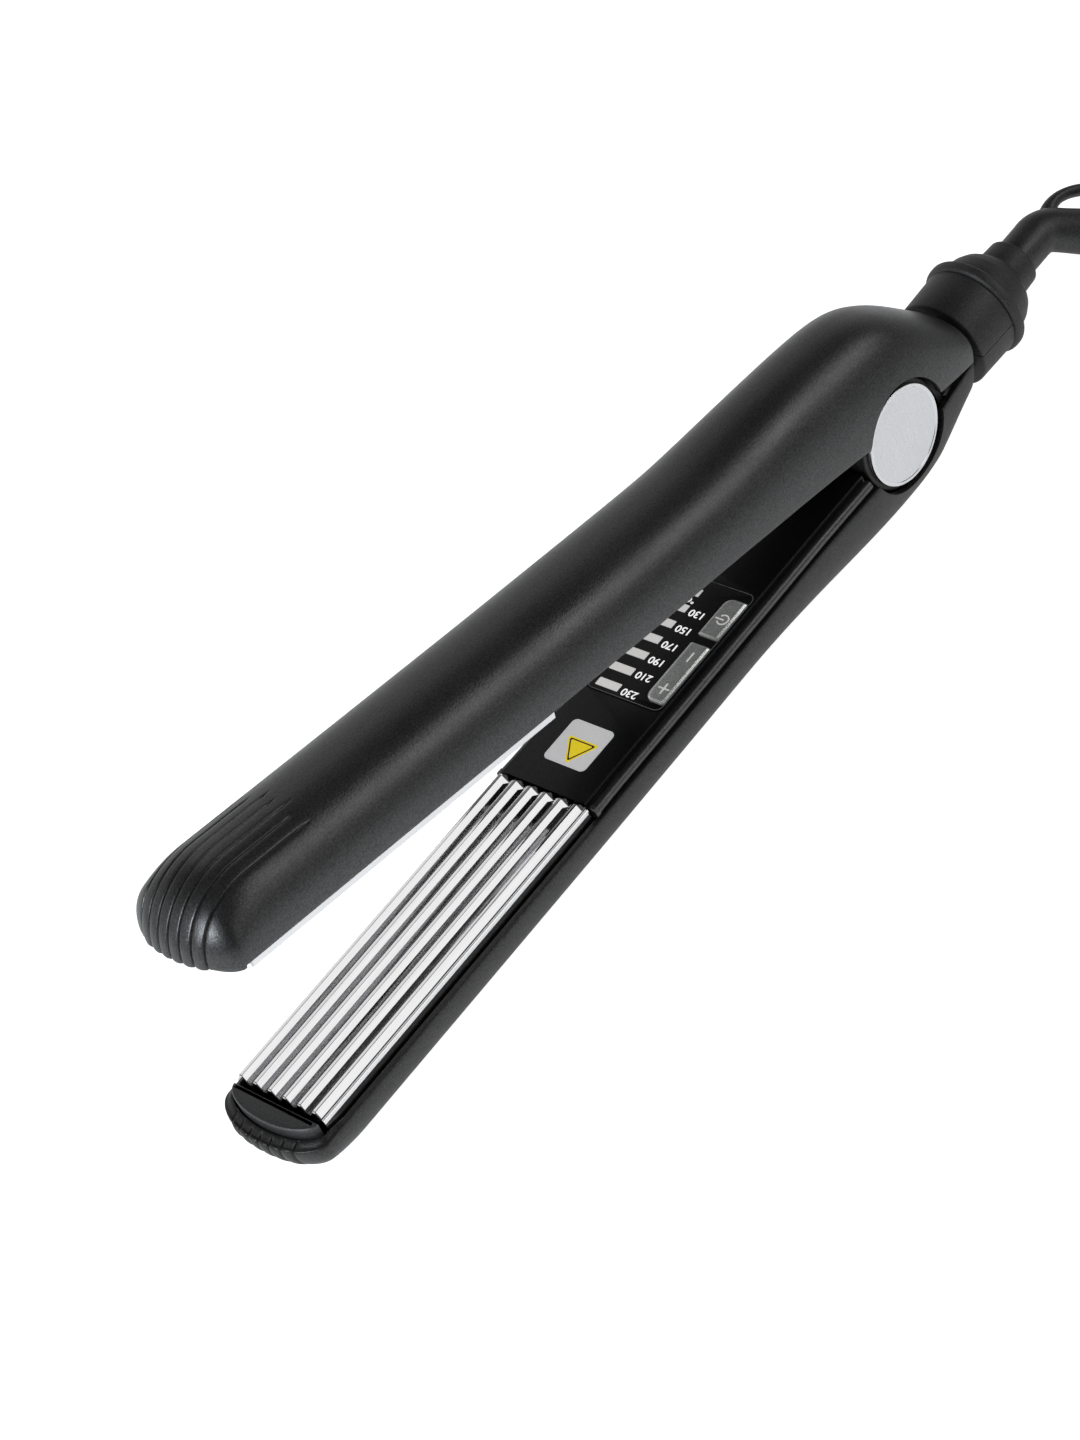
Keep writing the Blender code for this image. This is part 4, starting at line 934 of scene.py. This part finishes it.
def key_outline(box, radii, grow):
    """A key's outline grown by a margin, held back on its -Y side."""
    x0, x1, y0, y1 = box
    return rounded((x0 - grow, x1 + grow, y0 - min(grow, 0.25), y1 + grow),
                   [max(0.12, radius + grow) for radius in radii])


def bar_box(k, margin=0.0):
    x = BAR_FIRST + BAR_PITCH * k
    half_x, half_y = BAR_SIZE[0] / 2 + margin, BAR_SIZE[1] / 2 + margin
    return x - half_x, x + half_x, BAR_Y - half_y, BAR_Y + half_y


def panel():
    shape = prism(rounded(PANEL, PANEL_ROUND, 10), 2,
                  [(-2.0, 0), (0.04, 0), (0.10, 0.03), (PRINT_Z, 0.09)])
    obj = make("panel_face", shape, LOWER, "inner_black", "lower_arm", "control_panel")
    openings = [("power_slot", key_outline(POWER, POWER_RADII, 0.22)),
                ("rocker_slot", key_outline(ROCKER, ROCKER_RADII, 0.22))]
    for k in range(BAR_COUNT):
        x0, x1, y0, y1 = bar_box(k, 0.12)
        openings.append(("bar_slot_%d" % k, [(x0, y0), (x1, y0), (x1, y1), (x0, y1)]))
    cut(obj, [make(name, prism(outline, 2, SLOT_LEVELS), LOWER, "inner_black")
              for name, outline in openings])


def panel_outline():
    """Flat line just inside the panel's edge."""
    outer, inner = (rounded(grown(PANEL, -inset), PANEL_ROUND - inset, 10)
                    for inset in (0.12, 0.30))
    low, high = 0.10, 0.15
    rings = ((outer, low), (outer, high), (inner, high), (inner, low))
    verts, faces = loft([[(x, y, z) for x, y in ring] for ring, z in rings], caps=False)
    count = len(outer)
    for k in range(count):
        n = (k + 1) % count
        faces.append((3 * count + k, 3 * count + n, n, k))
    make("panel_outline", (verts, faces), LOWER, "outline", "lower_arm")


def light_bars():
    verts, faces = [], []
    for k in range(BAR_COUNT):
        bar_verts, bar_faces = prism(rounded(bar_box(k), 0.12, 2), 2,
                                     [(-2.0, 0), (0.10, 0), (0.16, 0.06)])
        faces += [tuple(i + len(verts) for i in face) for face in bar_faces]
        verts += bar_verts
    make("light_bars", (verts, faces), LOWER, "light_guide", "lower_arm",
         "indicator_light_guide")


panel()
panel_outline()
light_bars()

# ------------------------------------------------------------------ printed marks
# temperature, x of its number
MARKS = ((230, -88.8), (210, -83.5), (190, -78.7), (170, -73.8), (150, -68.7), (130, -63.7))
PRINT_THICK = 0.04
LETTER_WIDEN = 1.10
LETTER_WEIGHT = 0.03


def lettering(name, text, x, y, size, spacing):
    """Printed digits and unit: baseline along +Y, tops toward -X."""
    curve = bpy.data.curves.new(name + "_curve", "FONT")
    curve.body = text
    curve.size = size
    curve.align_x = "CENTER"
    curve.align_y = "CENTER"
    curve.extrude = PRINT_THICK / 2
    curve.resolution_u = 4
    curve.space_character = spacing
    curve.offset = LETTER_WEIGHT
    source = bpy.data.objects.new(name + "_curve", curve)
    bpy.context.scene.collection.objects.link(source)
    bpy.context.view_layer.update()
    graph = bpy.context.evaluated_depsgraph_get()
    mesh = bpy.data.meshes.new_from_object(source.evaluated_get(graph))
    bpy.data.objects.remove(source)
    bpy.data.curves.remove(curve)
    turn = Matrix(((0, -1, 0, 0), (LETTER_WIDEN, 0, 0, 0), (0, 0, 1, 0), (0, 0, 0, 1)))
    mesh.transform(LOWER @ Matrix.Scale(MM, 4)
                   @ Matrix.Translation((x, y, PRINT_Z + PRINT_THICK / 2)) @ turn)
    bm = bmesh.new()
    bm.from_mesh(mesh)
    bmesh.ops.remove_doubles(bm, verts=bm.verts, dist=1e-7)
    bmesh.ops.recalc_face_normals(bm, faces=bm.faces)
    bm.to_mesh(mesh)
    bm.free()
    obj = bpy.data.objects.new(name, mesh)
    bpy.context.scene.collection.objects.link(obj)
    mesh.materials.clear()
    mesh.materials.append(MATS["print"])
    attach(obj, "lower_arm")


for value, mark_x in MARKS:
    lettering("mark_%d" % value, str(value), mark_x, -1.42, size=2.75, spacing=0.98)
lettering("mark_unit", "\u00b0C", -60.6, 2.9, size=2.3, spacing=1.0)

# ------------------------------------------------------------------ keys
# z, growth of the outline: a wide foot under the panel, then a rounded, slightly dished top
KEY_LEVELS = [(-3.4, 0.7), (-2.45, 0.7), (-2.45, 0.0), (0.10, 0.0), (0.32, -0.02), (0.66, -0.40),
              (0.72, -0.47), (KEY_TOP, -0.58), (KEY_TOP - 0.02, -1.2)]
POWER_MARK = (-63.2, -8.75)
POWER_MARK_R = 1.35
POWER_MARK_GAP = math.radians(36)  # half the opening of the ring
PLUS_X, PLUS_Y, PLUS_ARM = -84.95, -8.6, 1.5


def key_cap(name, box, radii, body, node):
    rows = [[(x, y, z) for x, y in key_outline(box, radii, grow)] for z, grow in KEY_LEVELS]
    make(name, loft(rows), LOWER, "satin_key", body, node, 24.0)


def ridge(name, points, body, width=0.36, height=0.16):
    """Raised mark with a rounded top, swept along a polyline on the key's face."""
    pts = np.array(points, float)
    ahead = np.gradient(pts, axis=0)
    ahead /= np.linalg.norm(ahead, axis=1, keepdims=True)
    sides = np.stack([-ahead[:, 1], ahead[:, 0]], 1)
    section = [(math.cos(angle) * width / 2, KEY_TOP - 0.02 + height * math.sin(angle) ** 0.7)
               for angle in np.linspace(0, math.pi, 9)]
    section = [(width / 2, KEY_TOP - 0.08)] + section + [(-width / 2, KEY_TOP - 0.08)]
    rows = [[(point[0] + side[0] * across, point[1] + side[1] * across, z)
             for across, z in section] for point, side in zip(pts, sides)]
    make(name, loft(rows), LOWER, "key_mark", body, smooth=40.0)


def key_marks():
    x, y = POWER_MARK
    ring = [(x + POWER_MARK_R * math.sin(angle), y + POWER_MARK_R * math.cos(angle))
            for angle in np.linspace(POWER_MARK_GAP, 2 * math.pi - POWER_MARK_GAP, 36)]
    ridge("power_mark_ring", ring, "power_key", width=0.34)
    ridge("power_mark_bar", [(x, y - 0.1), (x, y + 1.0), (x, y + 2.1)], "power_key", width=0.34)
    ridge("minus_mark", [(-76.5, -8.55), (-75.15, -8.55), (-73.8, -8.55)], "temperature_key")
    arms = (-PLUS_ARM, 0.0, PLUS_ARM)
    ridge("plus_mark_a", [(PLUS_X + arm, PLUS_Y) for arm in arms], "temperature_key")
    ridge("plus_mark_b", [(PLUS_X, PLUS_Y + arm) for arm in arms], "temperature_key",
          height=0.163)


key_cap("power_key_cap", POWER, POWER_RADII, "power_key", "power_button")
key_cap("rocker_key_cap", ROCKER, ROCKER_RADII, "temperature_key", "temperature_rocker")
key_marks()

# ------------------------------------------------------------------ label
LABEL = (-111.45, -99.4, -6.0, 6.0)
SIGN_CORNERS = [(-111.0, -0.35), (-103.95, -4.95), (-103.95, 4.15)]  # apex toward the tip
# name, inset, lowest z, material, corner radius
SIGN_LAYERS = (("label_sign", 0.0, 0.19, "yellow", 0.45),
               ("label_line", 0.42, 0.20, "ink_black", 0.35),
               ("label_field", 0.78, 0.21, "yellow", 0.25))
SIGN_THICK = 0.025


def heat_label():
    make("heat_label", prism(rounded(LABEL, 1.3), 2, [(0.03, 0), (0.17, 0), (0.2, 0.04)]),
         LOWER, "sticker", "lower_arm", "heat_sticker")
    for name, inset, z, mat, radius in SIGN_LAYERS:
        outline = fillet(offset(SIGN_CORNERS, inset), radius, 6)
        make(name, prism(outline, 2, [(z, 0), (z + SIGN_THICK, 0)]), LOWER, mat, "lower_arm")


heat_label()

# ------------------------------------------------------------------ hinge
HUB_R, HUB_BORE, HUB_BACK, HUB_FACE = 13.2, 2.8, 8.0, 12.5
CAP_R, CAP_BACK, CAP_FACE = 12.0, 12.75, 13.8
CAP_DISH = CAP_FACE - 0.12  # the cap's face lies a little inside its raised edge


def hinge_side(side, sign):
    """Hub and cap on one side; sign is that of y."""
    hub = fillet([(sign * HUB_BACK, HUB_BORE), (sign * HUB_BACK, HUB_R),
                  (sign * HUB_FACE, HUB_R), (sign * HUB_FACE, HUB_BORE)], [0, 0.3, 0.4, 0], 4)
    make("hub_" + side, turned(hub, 1, (0, 0), 128), LOWER, "charcoal", "lower_arm",
         "hinge_hub_" + side)
    cap = fillet([(sign * CAP_BACK, 0.0), (sign * CAP_BACK, CAP_R), (sign * CAP_FACE, CAP_R),
                  (sign * CAP_FACE, CAP_R - 0.75), (sign * CAP_DISH, CAP_R - 0.9),
                  (sign * CAP_DISH, 0.0)], [0, 0.05, 0.22, 0.06, 0.05, 0], 4)
    obj = make("cap_" + side, turned(cap, 1, (0, 0), 144), LOWER, "brushed_cap", "lower_arm",
               "hinge_cap_" + side, 28.0)
    edge = (CAP_R - 0.92) * MM
    second_material(obj, "cap_edge", lambda centre: math.hypot(centre.x, centre.z - HINGE_Z) > edge)


hinge_side("left", -1)
hinge_side("right", 1)


# ------------------------------------------------------------------ barrel halves
def half_collar(half, start, shift, neck):
    """Half of the barrel, from a start angle. neck: (x, radius) from the front flange back."""
    profile = [(15.0, 6.0), (15.0, 11.2), (16.6, 11.2)] + neck
    profile += fillet([(BARREL_FRONT, neck[-1][1]), (BARREL_FRONT, BARREL_R - 0.05),
                       (BARREL_REAR, BARREL_R + 0.25), (BARREL_REAR, 8.8)],
                      [0, 0.6, 0.15, 0], closed=False)[1:]
    profile += [(41.9, 8.8), (41.9, 9.9), (32.4, 9.9), (32.4, 6.0)]
    verts, faces = turned(profile, 0, (0, BARREL_Z), 64, degrees=180.0, start=start)
    verts = [(x, y, z + shift) for x, y, z in verts]
    make("barrel_" + half, (verts, faces), LOWER, "charcoal", "lower_arm",
         "rear_collar_" + half, 30.0)


half_collar("upper", 0.0, 0.10, [(16.6, 7.3), (BARREL_FRONT, 7.3)])
half_collar("lower", 180.0, -0.10, [(16.6, 7.5), (24.7, 7.5), (24.7, 9.0), (BARREL_FRONT, 9.0)])

# ------------------------------------------------------------------ swivel and cord
# x, radius, corner radius
SWIVEL_PROFILE = [(37.5, 5.6, 0), (37.5, 9.4, 0.1), (39.5, 9.4, 0.1), (39.5, 8.4, 0),
                  (43.75, 8.4, 0), (43.75, 13.25, 1.35), (46.7, 13.25, 1.35),
                  (46.72, 11.75, 0.06), (48.6, 11.4, 2.0), (51.2, 10.7, 2.0), (53.2, 9.7, 1.5),
                  (54.6, 8.4, 1.2), (55.2, 7.2, 0.7), (56.0, 6.8, 0.6), (61.4, 6.5, 0.5),
                  (62.0, 5.65, 0), (49.5, 5.65, 0), (49.5, 5.6, 0)]
RELIEF_START = 50.0
# distance along the bent leg, radius of the sleeve
RELIEF_TAPER = ((5.0, 5.25), (6.5, 5.3), (9.0, 5.4), (12.0, 5.5), (15.0, 5.5), (18.0, 5.45),
                (20.5, 5.3), (22.5, 5.1), (25.0, 4.75), (27.0, 4.45), (28.6, 4.15), (29.4, 3.98),
                (29.8, 3.85), (RELIEF_LENGTH, 3.6))
CORD_STEPS, CORD_STEP, CORD_TURN = 12, 5.0, 3.0  # segments, their length, degrees of turn each


def swivel_ring():
    profile = fillet([row[:2] for row in SWIVEL_PROFILE], [row[2] for row in SWIVEL_PROFILE])
    make("swivel_ring", turned(profile, 0, (0, 0), 112), SWIVEL, "charcoal", "cord_exit",
         "swivel_cap", 30.0)


def on_leg(along, across=0.0):
    """(x, z) of a point on the bent leg past the elbow."""
    return (ELBOW_X + along * math.cos(BEND) + across * math.sin(BEND),
            -along * math.sin(BEND) + across * math.cos(BEND))


def strain_relief():
    """Sleeve round the bend, with a loop standing on its leg."""
    bend_x = ELBOW_X - ELBOW_TURN * math.tan(BEND / 2)
    straight = [RELIEF_START + step for step in (0.0, 5.0, 9.0, 13.0)] + [bend_x - 1.0]
    path = [(x, 0.0) for x in straight]
    radii = [5.2] * len(path)
    for k in range(21):
        angle = BEND * k / 20
        path.append((bend_x + ELBOW_TURN * math.sin(angle), -ELBOW_TURN * (1 - math.cos(angle))))
        radii.append(5.25)
    for along, radius in RELIEF_TAPER:
        path.append(on_leg(along))
        radii.append(radius)
    obj = make("relief_sleeve", tube([(x, 0, z) for x, z in path], radii, 64), SWIVEL, "rubber",
               "cord_exit", "strain_relief", 50.0)
    loop, loop_radii = [], []
    for k in range(41):
        angle = math.pi * k / 40
        x, z = on_leg(14.2 - 12.6 * math.cos(angle), 2.0 + 10.0 * math.sin(angle) ** 0.8)
        loop.append((x, 0, z))
        loop_radii.append((2.0, 1.3 + 1.5 * (1 - math.sin(angle)) ** 2.5))
    ring = make("loop_ring", tube(loop, loop_radii, 28), SWIVEL, "rubber")
    cut(obj, [ring], "UNION", 50.0)


def power_cord():
    """Falls from the sleeve and levels out on the floor, curving slowly sideways.

    The path is laid out with +Z up, then turned into the rolled swivel frame.
    """
    roll = math.radians(ROLL)
    x, z = on_leg(RELIEF_LENGTH + 0.3)
    points = [Vector((x, z * math.sin(roll), z * math.cos(roll)))]
    ahead = Vector((math.cos(BEND), -math.sin(BEND) * math.sin(roll),
                    -math.sin(BEND) * math.cos(roll)))
    level = Vector((ahead.x, ahead.y, 0)).normalized()
    slope = math.asin(-ahead.z)
    lowest = CORD_R + 0.15 - HINGE_Z / MM - BARREL_Z
    for _ in range(CORD_STEPS):
        room = points[-1].z - lowest
        limit = math.acos(max(-1.0, 1 - room / 16.0)) if room > 0 else 0.0
        slope = min(slope, limit)
        level = Matrix.Rotation(math.radians(CORD_TURN), 3, "Z") @ level
        step = level * math.cos(slope) - Vector((0, 0, math.sin(slope)))
        points.append(points[-1] + CORD_STEP * step)
    turn = Matrix.Rotation(roll, 3, "X")
    path = refine([tuple(turn @ point) for point in points], 4)
    make("cord_sleeve", tube(path, CORD_R, 40), SWIVEL, "rubber", "cord_exit", "power_cord",
         50.0)


swivel_ring()
strain_relief()
power_cord()

# ------------------------------------------------------------------ materials of the CAD nodes that stay
LOOK_OF = {
    "upper_inner_cover": "inner_black", "hinge_pin": "steel", "torsion_spring": "steel",
    "circuit_board": "board_green", "mains_lead": "wire",
}
ARM_LOOKS = {
    "heater": "ceramic", "heater_clamp": "steel", "cushion_front": "silicone",
    "cushion_rear": "silicone", "carrier_screw_front": "steel", "carrier_screw_rear": "steel",
    "temperature_sensor": "steel", "heater_lead": "wire",
}
for arm in ("lower", "upper"):
    LOOK_OF.update({arm + "_" + part: look for part, look in ARM_LOOKS.items()})
for node_name, cad_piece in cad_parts.items():
    if cad_piece.hide_render:
        continue
    cad_piece.data.materials.clear()
    cad_piece.data.materials.append(MATS[LOOK_OF.get(node_name, "high_heat_plastic")])

# ------------------------------------------------------------------ cushions under the plate carriers
CUSHION_NEAR, CUSHION_FIXED = 7.5, 9.7  # faces toward the plate and toward the arm
CUSHIONS = (("front", -192.0, -180.0), ("rear", -146.0, -134.0))


def cushion(side, sign, place, spot, x0, x1):
    """Soft pad between carrier and arm."""
    near, fixed = sign * CUSHION_NEAR, sign * CUSHION_FIXED
    low, high = min(near, fixed), max(near, fixed)
    levels = [(low, 0.15), (low + 0.15, 0), (high - 0.15, 0), (high, 0.15)]
    pad = make(side + "_cushion_pad_" + spot, prism(rounded((x0, x1, -5.0, 5.0), 0.8, 5), 2, levels),
               place, "silicone", side + "_arm", side + "_cushion_" + spot)
    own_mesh(pad)


for cushion_spot in CUSHIONS:
    cushion("lower", -1, LOWER, *cushion_spot)
    cushion("upper", 1, UPPER, *cushion_spot)

# ------------------------------------------------------------------ floor (metres from here on)
FLOOR_HALF = 6.0
AWAY = (0.556, -0.831)  # direction in x and y along which the floor's glow fades
CAMERA_GLOW = 0.50  # extra glow where the camera sees the floor itself


def floor():
    mesh = bpy.data.meshes.new("floor")
    size = FLOOR_HALF
    corners = [(-size, -size, 0), (size, -size, 0), (size, size, 0), (-size, size, 0)]
    mesh.from_pydata(corners, [], [(0, 1, 2, 3)])
    obj = bpy.data.objects.new("floor", mesh)
    bpy.context.scene.collection.objects.link(obj)
    mat, tree, shader = new_material("pale_paper")
    vector = coords(tree)
    cloud = noise(tree, vector, 9.0, detail=3.0)
    base = mix(tree, span(tree, cloud, 0.0, 1.0), (0.90, 0.90, 0.90), (0.92, 0.92, 0.92))
    tree.links.new(base, shader.inputs["Base Color"])
    shader.inputs["Roughness"].default_value = 0.9
    shader.inputs["Specular IOR Level"].default_value = 0.1
    shader.inputs["Emission Color"].default_value = (1, 1, 1, 1)
    place = tree.nodes.new("ShaderNodeSeparateXYZ")
    tree.links.new(vector, place.inputs["Vector"])
    away = maths(tree, "ADD", maths(tree, "MULTIPLY", place.outputs["X"], AWAY[0]),
                 maths(tree, "MULTIPLY", place.outputs["Y"], AWAY[1]))
    seen = tree.nodes.new("ShaderNodeLightPath")
    glow = maths(tree, "ADD", span(tree, away, low=0.42, high=0.02, start=0.050, end=0.18),
                 maths(tree, "MULTIPLY", seen.outputs["Is Camera Ray"], CAMERA_GLOW))
    tree.links.new(glow, shader.inputs["Emission Strength"])
    mesh.materials.append(mat)


floor()

# ------------------------------------------------------------------ lights
PLATE_TARGET = (-0.165, 0.0, 0.02)


def softbox(name, direction, distance, size, power, colour=(1, 1, 1), target=(-0.09, 0.0, 0.02)):
    """Rectangular light at a distance from its target, turned to face it."""
    data = bpy.data.lights.new(name, "AREA")
    data.shape = "RECTANGLE"
    data.size, data.size_y = size
    data.energy = power
    data.color = colour
    obj = bpy.data.objects.new(name, data)
    bpy.context.scene.collection.objects.link(obj)
    location = Vector(target) + Vector(direction).normalized() * distance
    obj.location = location
    obj.rotation_mode = "QUATERNION"
    obj.rotation_quaternion = (Vector(target) - location).to_track_quat("-Z", "Y")


softbox("side_softbox", direction=(0.63, -0.58, 0.55), distance=1.6, size=(1.05, 0.45), power=3.6)
softbox("plate_card", direction=(0.323, -0.888, 0.326), distance=1.6, size=(0.50, 0.44),
        power=0.76, target=PLATE_TARGET)
softbox("rear_card", direction=(0.35, 0.63, 0.69), distance=1.6, size=(0.45, 0.42),
        power=0.53, target=PLATE_TARGET)
softbox("nose_softbox", direction=(-0.79, 0.0, 0.60), distance=1.2, size=(0.24, 0.36),
        power=8.5, colour=(0.86, 0.93, 1.0), target=(-0.212, 0.0, 0.06))


def studio_world():
    """White surroundings that darken with height, each at its own rate toward +Y and -Y."""
    world = bpy.data.worlds.new("studio")
    bpy.context.scene.world = world
    world.use_nodes = True
    sky = world.node_tree
    background = sky.nodes["Background"]
    direction = sky.nodes.new("ShaderNodeTexCoord")
    axes = sky.nodes.new("ShaderNodeSeparateXYZ")
    sky.links.new(direction.outputs["Generated"], axes.inputs["Vector"])
    plus_y = span(sky, axes.outputs["Z"], low=0.50, high=0.06, start=0.34, end=0.66)
    minus_y = span(sky, axes.outputs["Z"], low=0.12, high=0.06, start=0.00, end=0.50)
    share = span(sky, axes.outputs["Y"], low=0.0, high=1.0, start=-0.25, end=0.35)
    level = maths(sky, "ADD", maths(sky, "MULTIPLY", plus_y, share),
                  maths(sky, "MULTIPLY", minus_y, maths(sky, "SUBTRACT", 1.0, share)))
    sky.links.new(level, background.inputs["Strength"])
    background.inputs["Color"].default_value = (1.0, 1.0, 1.0, 1.0)


studio_world()

# ------------------------------------------------------------------ camera
CAMERA_PLACE = Vector((-0.42584056, -0.50531761, 0.56269767 + HINGE_Z))
# The camera's own axes in the scene
RIGHT = Vector((0.6030208661168225, -0.7282241145947538, -0.3256615942207557))
DOWN = Vector((-0.6966897994854934, -0.2819086505310272, -0.6596596365161645))
AHEAD = Vector((0.38857323417932477, 0.6246736361320703, -0.6773431109865646))


def add_camera():
    data = bpy.data.cameras.new("camera")
    data.sensor_width = 36.0
    data.sensor_fit = "AUTO"
    data.lens = 94.91
    data.clip_start, data.clip_end = 0.05, 20.0
    obj = bpy.data.objects.new("camera", data)
    bpy.context.scene.collection.objects.link(obj)
    turn = Matrix((RIGHT, -DOWN, -AHEAD)).transposed().to_4x4()
    obj.matrix_world = Matrix.Translation(CAMERA_PLACE) @ turn
    bpy.context.scene.camera = obj
    bpy.context.scene.view_settings.view_transform = "Standard"


add_camera()
